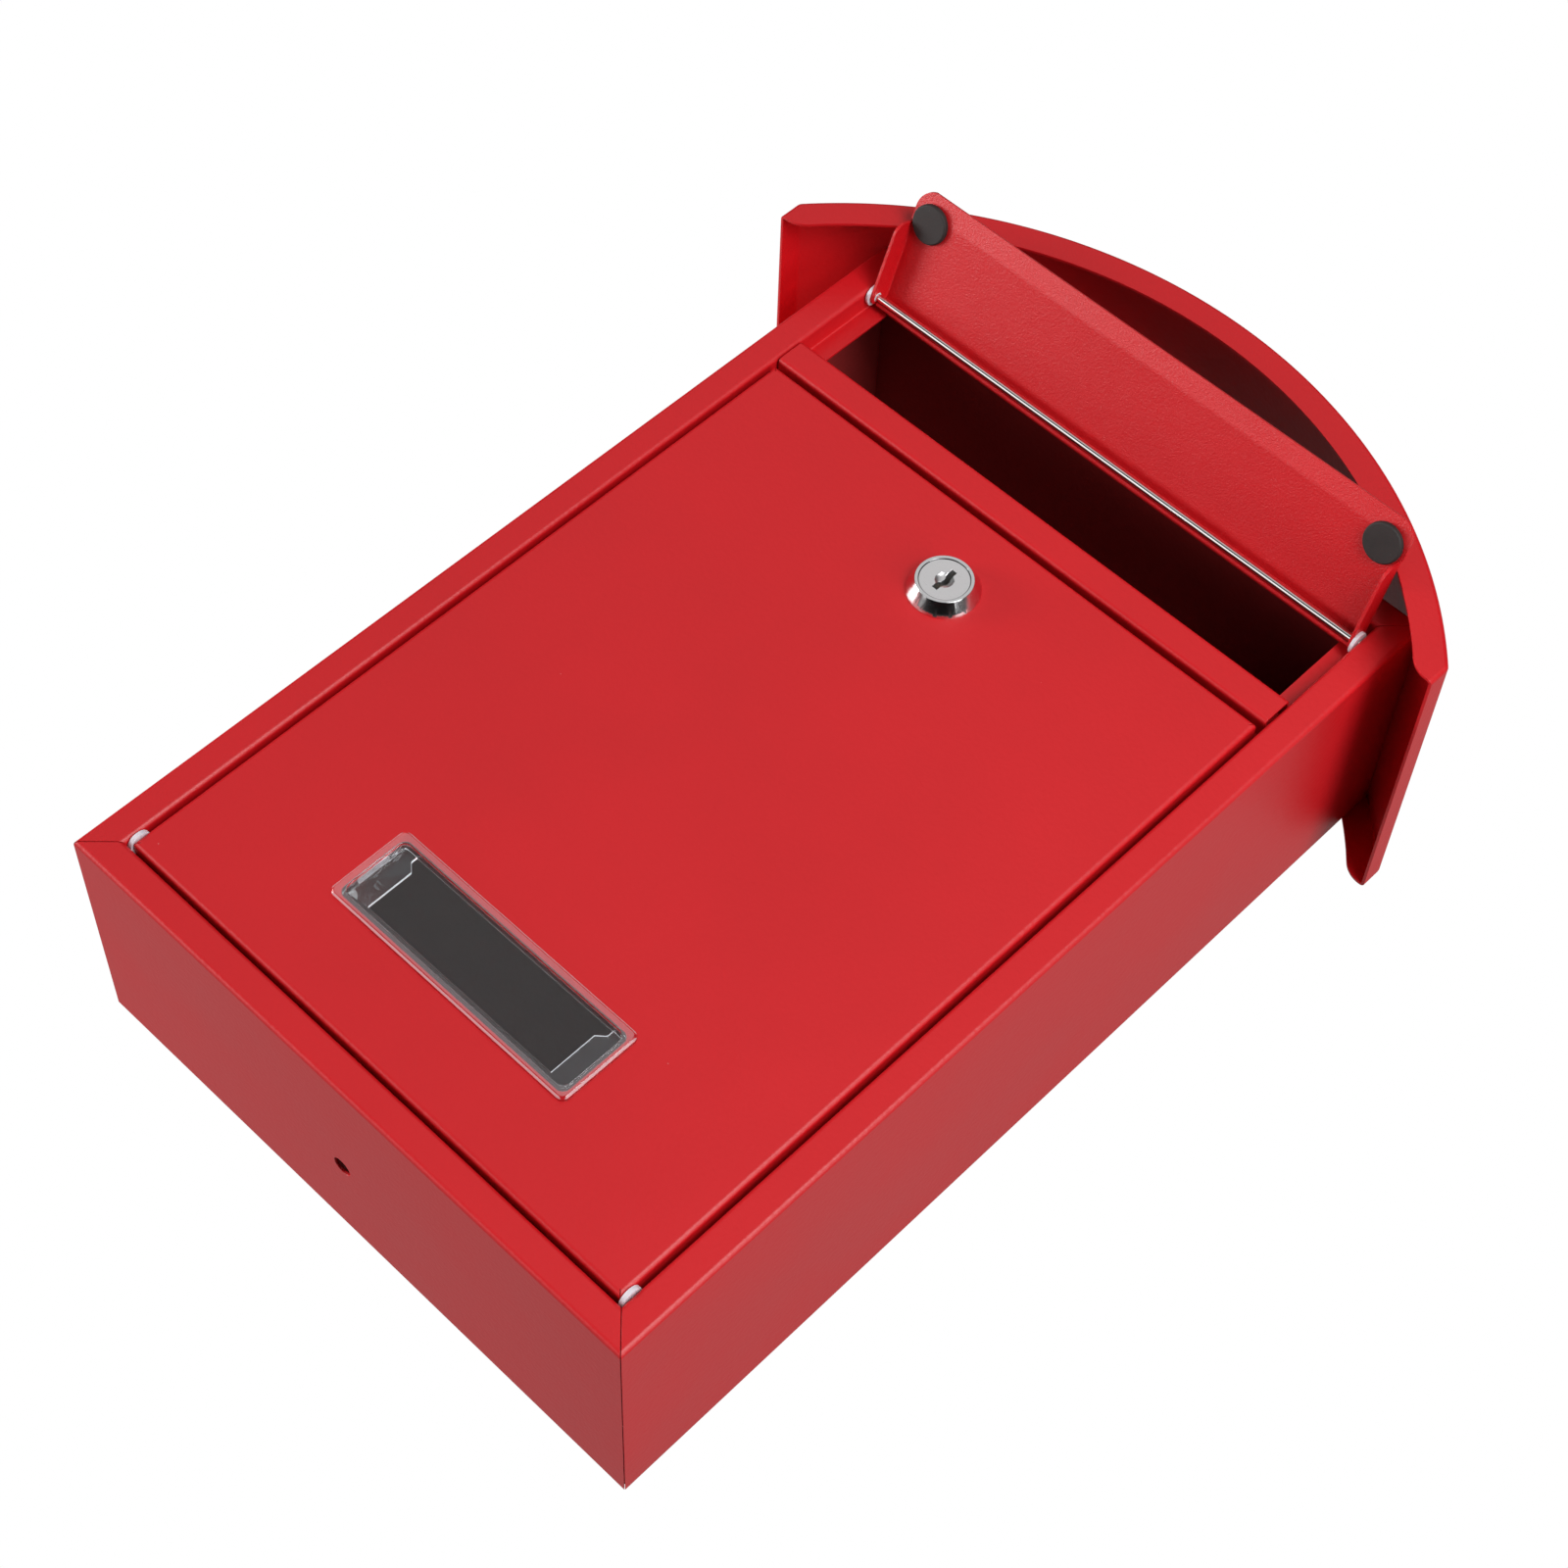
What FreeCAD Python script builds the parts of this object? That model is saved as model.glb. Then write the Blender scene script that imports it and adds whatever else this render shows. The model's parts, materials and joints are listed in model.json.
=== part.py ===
import FreeCAD, Part
import math
import os

# A wall mounted post box of folded and painted sheet steel.
# The case is one folded sheet with a framed front, under an arched roof. A crossbar parts the
# posting slot, which has a flap, from the door, which has a cam lock and a name window.
# Sizes are millimetres. Here x is to the right seen from the front, y runs from the plane of
# the frame towards the wall, and z is up from the underside of the case.
# The finished solids are moved so that the origin lies between the four wall fixings.

# Sheet metal
sheet = 1.0
bend_inner = 0.6
bend_outer = bend_inner + sheet
seam = 0.2

# Case and the frame folded round its front
case_width = 215.0
case_height = 325.5
case_depth = 86.5
frame_width = 10.0
stop_depth = 7.5
stop_lip = 6.5

# Holes in the case
fixing_spacing_x = 140.0
fixing_spacing_z = 210.0
fixing_centre_height = 165.0
fixing_diameter = 6.5
drain_diameter = 6.4
drain_x = -2.5
drain_y = 47.9

# Roof
roof_radius = 165.5
roof_side_overhang = 20.0
roof_front_overhang = 18.0
roof_rim_width = 10.0
roof_skirt = 8.0
roof_shoulder_radius = 3.0
roof_rim_end_radius = 9.5
roof_bevel = 1.2
roof_seat_gap = 0.1

# Posting slot and the crossbar under it
slot_height = 39.3
crossbar_height = 11.0
crossbar_end_gap = 0.1

# Hinge rods and their bushes
rod_diameter = 2.2
rod_end_reach = 2.5
rod_hole_gap = 0.05
bush_running_gap = 0.05
bush_wall = 0.45
bush_flange_diameter = 7.3
bush_end_gap = 0.3
bush_seat_gap = 0.02
bush_tail = 0.0

# Flap
flap_axis_drop = 7.2
flap_axis_depth = 2.6
flap_side_gap = 1.5
flap_head = 2.5
flap_head_depth = 6.3
flap_cheek_depth = 7.4
flap_cheek_length = 29.6
flap_cheek_radius = 4.0
flap_notch = 0.5
flap_bend_below_edge = 0.4
flap_bend_radius = 5.0
flap_lip_length = 6.6
flap_lip_flare = 12.0
flap_corner_radius = 6.0
flap_stop_gap = 0.3

# Rubber pads on the flap
pad_diameter = 12.8
pad_thickness = 1.8
pad_landing_gap = 0.2
pad_side_gap = 0.1
pad_above_edge = 2.3
pad_edge = 0.4

# Door
door_side_gap = 1.8
door_bottom_gap = 1.3
door_top_gap = 2.4
door_flange_depth = 6.8
door_bottom_flange_depth = 4.5
door_heel_radius = 3.0
door_axis_height = 4.0
door_axis_depth = 3.2

# Name window
window_width = 92.4
window_height = 28.5
window_above_frame = 28.4
window_corner_radius = 2.5
window_proud = 1.8
window_edge = 0.7
window_rim = 3.0
window_pane_recess = 0.8
window_pane_thickness = 1.0
window_insert_step = 2.0
window_insert_gap = 0.1
window_insert_wall = 1.0
window_insert_depth = 3.0
window_tongue_thickness = 1.0
window_tongue_reach = 7.1
window_tongue_step = 2.6
window_tongue_step_height = 58.4 - 40.4
window_tongue_step_run = 2.3
window_ledge_height = 2.3
window_lug_height = 11.0
window_lug_reach = 0.6
window_lug_gap = 0.05

# Cam lock
lock_below_top = 27.8
lock_bezel_diameter = 22.5
lock_bezel_base = 0.6
lock_bezel_proud = 4.8
lock_ring_diameter = 17.6
lock_face_diameter = 15.6
lock_face_recess = 0.3
lock_face_thickness = 1.5
lock_barrel_diameter = 19.0
lock_barrel_flats = 16.0
lock_barrel_length = 14.0
lock_hole_gap = 0.1
lock_bore_diameter = 12.1
lock_running_gap = 0.05
lock_end_gap = 0.1
washer_diameter = 25.0
washer_thickness = 1.0
nut_across_flats = 23.0
nut_thickness = 4.5

# Plug, wafers and keyway
keyway_width = 1.9
keyway_height = 8.8
keyway_jog = 0.5
keyway_jog_half_height = 1.0
keyway_depth = 12.0
dish_diameter = 6.0
dish_depth = 0.8
wafer_count = 4
wafer_pitch = 2.2
wafer_thickness = 0.9
wafer_width = 5.2
wafer_height = 10.4
wafer_window_width = 3.4
wafer_window_height = 9.0
wafer_gap = 0.05
wafer_first = 0.5

# Cam and its screw
cam_thickness = 2.0
cam_width = 14.0
cam_tip_width = 12.0
cam_tip_radius = 2.0
cam_reach = 38.0
cam_crank_start = 13.5
cam_crank_end = 20.0
cam_crank_bend = 1.5
cam_hook_gap = 0.5
tenon_width = 7.0
tenon_corner_diameter = 9.0
tenon_gap = 0.05
tenon_short = 0.2
spring_washer_diameter = 9.0
spring_washer_thickness = 1.0
screw_diameter = 4.0
screw_length = 8.0
screw_head_diameter = 7.2
screw_head_height = 2.6
screw_head_land = 0.3
screw_recess_width = 1.1
screw_recess_length = 4.2
screw_recess_depth = 1.4

# Worked out from the sizes above
half_width = case_width / 2
opening_half_width = half_width - frame_width
opening_bottom = frame_width
opening_top = case_height - frame_width
crossbar_top = opening_top - slot_height
crossbar_bottom = crossbar_top - crossbar_height
rod_radius = rod_diameter / 2
bush_bore_radius = rod_radius + bush_running_gap
bush_barrel_radius = bush_bore_radius + bush_wall

roof_underside = roof_radius - sheet
roof_rim_radius = roof_radius - roof_rim_width
roof_seat_radius = roof_underside - roof_seat_gap
roof_centre = case_height - math.sqrt((roof_seat_radius + roof_bevel) ** 2 - half_width ** 2)
roof_half_width = half_width + roof_side_overhang

flap_axis_z = opening_top - flap_axis_drop
flap_half_width = opening_half_width - flap_side_gap
flap_inner_y = -(pad_thickness + pad_landing_gap)
flap_outer_y = flap_inner_y - sheet
flap_bend_z = crossbar_top - flap_bend_below_edge

door_half_width = opening_half_width - door_side_gap
door_bottom = opening_bottom + door_bottom_gap
door_top = crossbar_bottom - door_top_gap
door_axis_z = opening_bottom + door_axis_height
window_bottom = opening_bottom + window_above_frame
lock_z = door_top - lock_below_top

lock_bore_radius = lock_bore_diameter / 2
lock_face_front = lock_face_recess - lock_bezel_proud
lock_face_back = lock_face_front + lock_face_thickness
plug_radius = lock_bore_radius - lock_running_gap
plug_end = lock_barrel_length + lock_end_gap
cam_front = plug_end + lock_end_gap
cam_back = cam_front + cam_thickness

# Directions
right = FreeCAD.Vector(1, 0, 0)
left = FreeCAD.Vector(-1, 0, 0)
back = FreeCAD.Vector(0, 1, 0)
front = FreeCAD.Vector(0, -1, 0)
up = FreeCAD.Vector(0, 0, 1)
down = FreeCAD.Vector(0, 0, -1)


def flap_open_angle():
    """Angle from hanging shut to where the flap's side folds meet the roof's front rim."""
    fold_x = flap_half_width - bend_outer
    rim = roof_rim_radius - bend_outer - flap_stop_gap
    rise = roof_centre + math.sqrt(rim ** 2 - fold_x ** 2) - flap_axis_z
    reach = flap_axis_depth + roof_front_overhang
    fold_offset = flap_axis_depth - flap_outer_y - bend_outer
    slope = math.atan2(rise, reach) - math.asin(fold_offset / math.hypot(reach, rise))
    return 90 + math.degrees(slope)


def rounded_face(points, radii, origin, across, along):
    """A flat face with the given corners, each rounded by its own radius."""
    corners = [origin + across * p + along * q for p, q in points]
    edges = []
    starts = []
    ends = []
    count = len(corners)
    for index, corner in enumerate(corners):
        radius = radii[index]
        if radius == 0:
            starts.append(corner)
            ends.append(corner)
            edges.append(None)
            continue
        before = (corners[index - 1] - corner).normalize()
        after = (corners[(index + 1) % count] - corner).normalize()
        half_angle = before.getAngle(after) / 2
        run = radius / math.tan(half_angle)
        middle = (before + after).normalize() * (radius / math.sin(half_angle) - radius)
        starts.append(corner + before * run)
        ends.append(corner + after * run)
        edges.append(Part.Arc(starts[-1], corner + middle, ends[-1]).toShape())
    outline = []
    for index in range(count):
        if edges[index] is not None:
            outline.append(edges[index])
        following = starts[(index + 1) % count]
        if (following - ends[index]).Length > 1e-7:
            outline.append(Part.LineSegment(ends[index], following).toShape())
    return Part.Face(Part.Wire(outline))


def folded_outline(middle_line, inner_radii, thickness):
    """Corners and radii of a strip of even thickness folded along a middle line."""
    headings = []
    for start, end in zip(middle_line, middle_line[1:]):
        headings.append(math.atan2(end[1] - start[1], end[0] - start[0]))
    sides = []
    for side in (1, -1):
        points = []
        radii = []
        for index, (p, q) in enumerate(middle_line):
            before = headings[max(index - 1, 0)]
            after = headings[min(index, len(headings) - 1)]
            turn = math.remainder(after - before, 2 * math.pi)
            normal = before + turn / 2 + math.pi / 2
            offset = side * thickness / 2 / math.cos(turn / 2)
            points.append((p + offset * math.cos(normal), q + offset * math.sin(normal)))
            if turn == 0:
                radii.append(0)
            elif turn * side > 0:
                radii.append(inner_radii[index - 1])
            else:
                radii.append(inner_radii[index - 1] + thickness)
        sides.append((points, radii))
    (left_points, left_radii), (right_points, right_radii) = sides
    return left_points + right_points[::-1], left_radii + right_radii[::-1]


def mitred_wall(middle_line, origin, along, inward, length):
    """A folded wall of a tray, cut at 45 degrees at both ends with half the seam."""
    points, radii = folded_outline(middle_line, [bend_inner] * (len(middle_line) - 2), sheet)
    start = origin - along * (length / 2)
    wall = rounded_face(points, radii, start, inward, back).extrude(along * length)
    reach = max(p for p, q in points) + sheet
    half = length / 2 - seam / math.sqrt(2)
    depth = case_depth + roof_front_overhang
    outline = [(-half, 0), (half, 0), (half - reach, reach), (reach - half, reach)]
    between = rounded_face(outline, [0] * 4, origin + front * depth, along, inward)
    return wall.common(between.extrude(back * 2 * depth))


def turned(profile, centre, axis, radial):
    """A solid of revolution from corners given as (distance along the axis, radius)."""
    face = rounded_face(profile, [0] * len(profile), centre, axis, radial)
    return face.revolve(centre, axis, 360)


def tube(inner_radius, outer_radius, start, end, centre, axis, radial):
    profile = [(start, inner_radius), (end, inner_radius), (end, outer_radius), (start, outer_radius)]
    return turned(profile, centre, axis, radial)


def bar(radius, start, end, centre, axis):
    return Part.makeCylinder(radius, end - start, centre + axis * start, axis)


def edges_along(shape, direction, test):
    """Straight edges parallel to a direction whose middle point passes the test."""
    found = []
    for edge in shape.Edges:
        if edge.Curve.TypeId != "Part::GeomLine":
            continue
        if abs(abs(edge.Curve.Direction.dot(direction)) - 1) > 1e-6:
            continue
        if test(edge.CenterOfMass):
            found.append(edge)
    return found


def rectangle_face(width, height, radius, centre):
    """An upright rectangle with rounded corners in the plane of the front."""
    p = width / 2
    q = height / 2
    corners = [(-p, -q), (p, -q), (p, q), (-p, q)]
    return rounded_face(corners, [radius] * 4, centre, right, up)


def body_shell():
    """Back, four walls, frame, returns and stop lips, folded from one sheet."""
    middle = sheet / 2
    section = [
        (bend_outer, case_depth - middle),
        (middle, case_depth - middle),
        (middle, middle),
        (frame_width - middle, middle),
        (frame_width - middle, stop_depth + middle),
        (frame_width + stop_lip, stop_depth + middle),
    ]
    half_height = up * (case_height / 2)
    walls = [
        mitred_wall(section, up * 0, right, up, case_width),
        mitred_wall(section, up * case_height, right, down, case_width),
        mitred_wall(section, left * half_width + half_height, up, right, case_height),
        mitred_wall(section, right * half_width + half_height, up, left, case_height),
    ]
    panel = Part.makeBox(
        case_width - 2 * bend_outer,
        sheet,
        case_height - 2 * bend_outer,
        FreeCAD.Vector(bend_outer - half_width, case_depth - sheet, bend_outer),
    )
    shell = panel.multiFuse(walls).removeSplitter()
    return shell.cut(case_holes() + [roof_seat()])


def case_holes():
    """Wall fixings, the drain and the holes that hold the hinge rods."""
    holes = []
    for x in (-fixing_spacing_x / 2, fixing_spacing_x / 2):
        for z in (-fixing_spacing_z / 2, fixing_spacing_z / 2):
            centre = FreeCAD.Vector(x, case_depth, fixing_centre_height + z)
            holes.append(bar(fixing_diameter / 2, -2 * sheet, sheet, centre, back))
    drain = FreeCAD.Vector(drain_x, drain_y, 0)
    holes.append(bar(drain_diameter / 2, -sheet, 2 * sheet, drain, up))
    for axis_y, axis_z in ((flap_axis_depth, flap_axis_z), (door_axis_depth, door_axis_z)):
        centre = FreeCAD.Vector(0, axis_y, axis_z)
        for side in (left, right):
            start = opening_half_width - sheet
            end = opening_half_width + 2 * sheet
            holes.append(bar(rod_radius + rod_hole_gap, start, end, centre, side))
    return holes


def roof_seat():
    """What is bevelled off the case's two top corners so that the roof beds on them."""
    floor = case_height - 2 * frame_width
    corner = FreeCAD.Vector(-case_width, -case_depth, floor)
    block = Part.makeBox(2 * case_width, 3 * case_depth, 2 * frame_width + sheet, corner)
    centre = FreeCAD.Vector(0, -2 * case_depth, roof_centre)
    return block.cut(bar(roof_seat_radius, 0, 5 * case_depth, centre, back))


def arched_block(inset, floor, start, end, shoulder):
    """The space under an arch with upright sides, set in from the roof's outer face."""
    radius = roof_radius - inset
    half = roof_half_width - inset
    spring = roof_centre + math.sqrt(radius ** 2 - half ** 2)
    corners = [
        FreeCAD.Vector(-half, start, floor),
        FreeCAD.Vector(-half, start, spring),
        FreeCAD.Vector(half, start, spring),
        FreeCAD.Vector(half, start, floor),
    ]
    crown = FreeCAD.Vector(0, start, roof_centre + radius)
    outline = [
        Part.LineSegment(corners[0], corners[1]).toShape(),
        Part.Arc(corners[1], crown, corners[2]).toShape(),
        Part.LineSegment(corners[2], corners[3]).toShape(),
        Part.LineSegment(corners[3], corners[0]).toShape(),
    ]
    block = Part.Face(Part.Wire(outline)).extrude(back * (end - start))
    shoulders = edges_along(block, back, lambda at: abs(at.z - spring) < 1e-3)
    return block.makeFillet(shoulder, shoulders)


def round_folds(block, radius, floor):
    """Rounds the folds at both ends of an arched block, apart from along its floor."""
    ends = []
    for face in block.Faces:
        if face.Surface.TypeId != "Part::GeomPlane":
            continue
        if abs(abs(face.normalAt(0, 0).y) - 1) < 1e-6:
            ends += [edge for edge in face.Edges if edge.CenterOfMass.z > floor + 1e-3]
    return block.makeFillet(radius, ends)


def roof():
    """An arched sheet with upright skirts and a rim folded in at the front and the back."""
    spring = roof_centre + math.sqrt(roof_radius ** 2 - roof_half_width ** 2)
    floor = spring - roof_skirt
    start = -roof_front_overhang
    end = case_depth + sheet
    outer = arched_block(0, floor, start, end, roof_shoulder_radius)
    outer = round_folds(outer, bend_outer, floor)
    inner_shoulder = roof_shoulder_radius - sheet
    inner = arched_block(sheet, floor - frame_width, start + sheet, end - sheet, inner_shoulder)
    centre = FreeCAD.Vector(0, 0, roof_centre)
    mouth = bar(roof_rim_radius, start - sheet, end + sheet, centre, back)
    shell = outer.cut([inner, mouth])
    mouth_x = math.sqrt(roof_rim_radius ** 2 - (floor - roof_centre) ** 2)
    tips = edges_along(shell, back, lambda at: abs(abs(at.x) - mouth_x) < 1e-3)
    return shell.makeFillet(roof_rim_end_radius, tips)


def crossbar():
    """A channel across the opening whose folded edges stand on the stop lips."""
    middle = sheet / 2
    section = [
        (stop_depth, crossbar_bottom + middle),
        (middle, crossbar_bottom + middle),
        (middle, crossbar_top - middle),
        (stop_depth, crossbar_top - middle),
    ]
    points, radii = folded_outline(section, [bend_inner] * 2, sheet)
    half = opening_half_width - bend_inner - crossbar_end_gap
    return rounded_face(points, radii, left * half, back, up).extrude(right * 2 * half)


def hinge_rod(axis_y, axis_z):
    reach = opening_half_width + rod_end_reach
    return bar(rod_radius, -reach, reach, FreeCAD.Vector(0, axis_y, axis_z), right)


def bush(axis_y, axis_z, side, seat):
    """A flanged bush, pushed in from outside, that fills the gap beside its piece."""
    tail = seat - sheet - bush_tail
    end = opening_half_width - bush_end_gap
    flange_radius = bush_flange_diameter / 2
    profile = [
        (tail, bush_bore_radius),
        (end, bush_bore_radius),
        (end, flange_radius),
        (seat, flange_radius),
        (seat, bush_barrel_radius),
        (tail, bush_barrel_radius),
    ]
    return turned(profile, FreeCAD.Vector(0, axis_y, axis_z), side, up)


def bush_holes(axis_y, axis_z, seat):
    centre = FreeCAD.Vector(0, axis_y, axis_z)
    radius = bush_barrel_radius + bush_seat_gap
    return [bar(radius, seat - 2 * sheet, seat + sheet, centre, side) for side in (left, right)]


def flap_cheek(side):
    """The side fold of the flap, which carries its bush."""
    middle = sheet / 2
    rear = flap_inner_y + flap_cheek_depth
    section = [
        (flap_half_width - bend_outer, flap_outer_y + middle),
        (flap_half_width - middle, flap_outer_y + middle),
        (flap_half_width - middle, rear),
    ]
    points, radii = folded_outline(section, [bend_inner], sheet)
    top = flap_axis_z + flap_head
    bottom = top - flap_cheek_length
    fold = rounded_face(points, radii, up * bottom, side, back).extrude(up * flap_cheek_length)
    corners = [
        (flap_outer_y - sheet, bottom),
        (rear, bottom),
        (rear, top),
        (flap_outer_y - sheet, top),
    ]
    edge_radii = [0, flap_cheek_radius, flap_head, 0]
    outline = rounded_face(corners, edge_radii, left * case_width, back, up)
    return fold.common(outline.extrude(right * 2 * case_width))


def flap_panel():
    """The flap as it hangs shut: face, top fold, cheeks and a flared lip."""
    middle = sheet / 2
    flare = math.radians(flap_lip_flare)
    face_y = flap_outer_y + middle
    top_z = flap_axis_z + flap_head - middle
    lip_y = face_y - flap_lip_length * math.sin(flare)
    lip_z = flap_bend_z - flap_lip_length * math.cos(flare)
    section = [
        (flap_outer_y + flap_head_depth, top_z),
        (face_y, top_z),
        (face_y, flap_bend_z),
        (lip_y, lip_z),
    ]
    points, radii = folded_outline(section, [bend_inner, flap_bend_radius], sheet)
    face = rounded_face(points, radii, left * flap_half_width, back, up)
    panel = face.extrude(right * 2 * flap_half_width)
    high = flap_axis_z + 2 * flap_head
    low = lip_z - middle * math.sin(flare)
    outline = [
        (-flap_half_width, low),
        (flap_half_width, low),
        (flap_half_width, high),
        (-flap_half_width, high),
    ]
    outline_radii = [flap_corner_radius, flap_corner_radius, 0, 0]
    trim = rounded_face(outline, outline_radii, front * case_depth, right, up)
    panel = panel.common(trim.extrude(back * 2 * case_depth))
    notch_bottom = flap_axis_z + flap_head - flap_cheek_length - flap_notch
    notches = []
    for x in (-flap_half_width - bend_outer, flap_half_width - bend_outer):
        corner = FreeCAD.Vector(x, -case_depth, notch_bottom)
        notches.append(Part.makeBox(2 * bend_outer, 2 * case_depth, case_height, corner))
    cheeks = [flap_cheek(left), flap_cheek(right)]
    panel = panel.cut(notches).multiFuse(cheeks).removeSplitter()
    return panel.cut(bush_holes(flap_axis_depth, flap_axis_z, flap_half_width))


def flap_pad(side):
    """A round rubber pad that lands on the crossbar."""
    centre = side * (flap_half_width - sheet - pad_side_gap - pad_diameter / 2)
    centre += up * (crossbar_top + pad_above_edge) + back * flap_inner_y
    radius = pad_diameter / 2
    profile = [
        (0, 0),
        (0, radius),
        (pad_thickness - pad_edge, radius),
        (pad_thickness, radius - pad_edge),
        (pad_thickness, 0),
    ]
    return turned(profile, centre, back, up)


def opened(shape):
    """Turns a piece of the shut flap to where it rests open under the roof's rim."""
    turned_shape = shape.copy()
    axis_point = FreeCAD.Vector(0, flap_axis_depth, flap_axis_z)
    turned_shape.rotate(axis_point, right, -flap_open_angle())
    return turned_shape


def door_panel():
    """A shallow folded tray with a lock hole, a window hole and two bush holes."""
    middle = sheet / 2
    height = door_top - door_bottom
    deep = [(bend_outer, middle), (middle, middle), (middle, door_flange_depth)]
    shallow = [(bend_outer, middle), (middle, middle), (middle, door_bottom_flange_depth)]
    centre = up * (door_bottom + height / 2)
    walls = [
        mitred_wall(shallow, up * door_bottom, right, up, 2 * door_half_width),
        mitred_wall(deep, up * door_top, right, down, 2 * door_half_width),
        mitred_wall(deep, centre + left * door_half_width, up, right, height),
        mitred_wall(deep, centre + right * door_half_width, up, left, height),
    ]
    panel = Part.makeBox(
        2 * (door_half_width - bend_outer),
        sheet,
        height - 2 * bend_outer,
        FreeCAD.Vector(bend_outer - door_half_width, 0, door_bottom + bend_outer),
    )
    tray = panel.multiFuse(walls).removeSplitter()
    corners = [
        (-sheet, door_bottom),
        (door_flange_depth, door_bottom),
        (door_flange_depth, door_top),
        (-sheet, door_top),
    ]
    heel = rounded_face(corners, [0, door_heel_radius, 0, 0], left * case_width, back, up)
    tray = tray.common(heel.extrude(right * 2 * case_width))
    holes = bush_holes(door_axis_depth, door_axis_z, door_half_width)
    return tray.cut(holes + [lock_hole(), window_hole()])


def lock_hole():
    """A round hole with two flats that keeps the lock from turning."""
    centre = up * lock_z
    hole = bar(lock_barrel_diameter / 2 + lock_hole_gap, -sheet, 2 * sheet, centre, back)
    width = lock_barrel_flats + 2 * lock_hole_gap
    corner = FreeCAD.Vector(-width / 2, -sheet, lock_z - lock_barrel_diameter)
    return hole.common(Part.makeBox(width, 3 * sheet, 2 * lock_barrel_diameter, corner))


def window_centre(y):
    return FreeCAD.Vector(0, y, window_bottom + window_height / 2)


def window_hole():
    width = window_width - 2 * window_insert_step
    height = window_height - 2 * window_insert_step
    hole = rectangle_face(width, height, window_corner_radius, window_centre(-sheet))
    return hole.extrude(back * 3 * sheet)


def name_window():
    """A clear frame and pane that snap into the door, with tongues for a name card."""
    rim = rectangle_face(window_width, window_height, window_corner_radius,
                         window_centre(-window_proud)).extrude(back * window_proud)
    front_edges = [edge for edge in rim.Edges if abs(edge.CenterOfMass.y + window_proud) < 1e-3]
    rim = rim.makeChamfer(window_edge, front_edges)
    recess = rectangle_face(
        window_width - 2 * window_rim,
        window_height - 2 * window_rim,
        window_corner_radius,
        window_centre(-window_proud - sheet),
    )
    rim = rim.cut(recess.extrude(back * (sheet + window_pane_recess)))
    step = window_insert_step + window_insert_gap
    width = window_width - 2 * step
    height = window_height - 2 * step
    insert = rectangle_face(width, height, window_corner_radius, window_centre(0))
    pane_back = window_pane_recess + window_pane_thickness - window_proud
    hollow = rectangle_face(
        width - 2 * window_insert_wall,
        height - 2 * window_insert_wall,
        window_corner_radius - window_insert_wall,
        window_centre(pane_back),
    )
    insert = insert.extrude(back * window_insert_depth)
    body = rim.fuse(insert).cut(hollow.extrude(back * case_depth))
    inner_half = width / 2 - window_insert_wall
    inner_bottom = window_bottom + step + window_insert_wall
    inner_top = window_bottom + window_height - step - window_insert_wall
    tongues = [card_tongue(side, inner_half, inner_bottom, inner_top) for side in (left, right)]
    ledge = Part.makeBox(
        2 * inner_half + window_insert_wall,
        window_tongue_thickness,
        window_ledge_height + window_insert_wall / 2,
        FreeCAD.Vector(
            -inner_half - window_insert_wall / 2,
            window_insert_depth - window_tongue_thickness,
            inner_bottom - window_insert_wall / 2,
        ),
    )
    lugs = [snap_lug(side, width / 2) for side in (left, right)]
    return body.multiFuse(tongues + [ledge] + lugs).removeSplitter()


def card_tongue(side, root, bottom, top):
    """A flat tongue from an end wall of the window that holds the card to the pane."""
    sink = window_insert_wall / 2
    reach = root - window_tongue_reach
    step_z = bottom + window_tongue_step_height
    corners = [
        (root + sink, bottom),
        (reach, bottom),
        (reach, step_z),
        (reach + window_tongue_step, step_z + window_tongue_step_run),
        (reach + window_tongue_step, top + sink),
        (root + sink, top + sink),
    ]
    origin = back * (window_insert_depth - window_tongue_thickness)
    radii = [0, 0, 0, window_edge, 0, 0]
    return rounded_face(corners, radii, origin, side, up).extrude(back * window_tongue_thickness)


def snap_lug(side, root):
    """A wedge on an end wall that catches behind the door's sheet."""
    sink = window_insert_wall / 2
    catch = sheet + window_lug_gap
    corners = [
        (root - sink, catch),
        (root + window_insert_gap + window_lug_reach, catch),
        (root, window_insert_depth),
        (root - sink, window_insert_depth),
    ]
    origin = window_centre(0) - up * (window_lug_height / 2)
    return rounded_face(corners, [0] * 4, origin, side, back).extrude(up * window_lug_height)


def lock_housing():
    """A turned bezel and a flatted barrel with a bore for the plug."""
    bezel = lock_bezel_diameter / 2
    face_gap = lock_face_diameter / 2
    barrel = lock_barrel_diameter / 2
    shoulder = lock_face_back + lock_running_gap
    profile = [
        (0, barrel),
        (0, bezel),
        (-lock_bezel_base, bezel),
        (-lock_bezel_proud, lock_ring_diameter / 2),
        (-lock_bezel_proud, face_gap),
        (shoulder, face_gap),
        (shoulder, lock_bore_radius),
        (lock_barrel_length, lock_bore_radius),
        (lock_barrel_length, barrel),
    ]
    housing = turned(profile, up * lock_z, back, up)
    flats = []
    for x in (-lock_barrel_flats / 2 - bezel, lock_barrel_flats / 2):
        corner = FreeCAD.Vector(x, 0, lock_z - bezel)
        flats.append(Part.makeBox(bezel, 2 * lock_barrel_length, 2 * bezel, corner))
    return housing.cut(flats)


def lock_washer():
    bore = lock_barrel_diameter / 2 + lock_hole_gap
    start = sheet
    end = sheet + washer_thickness
    return tube(bore, washer_diameter / 2, start, end, up * lock_z, back, up)


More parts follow.
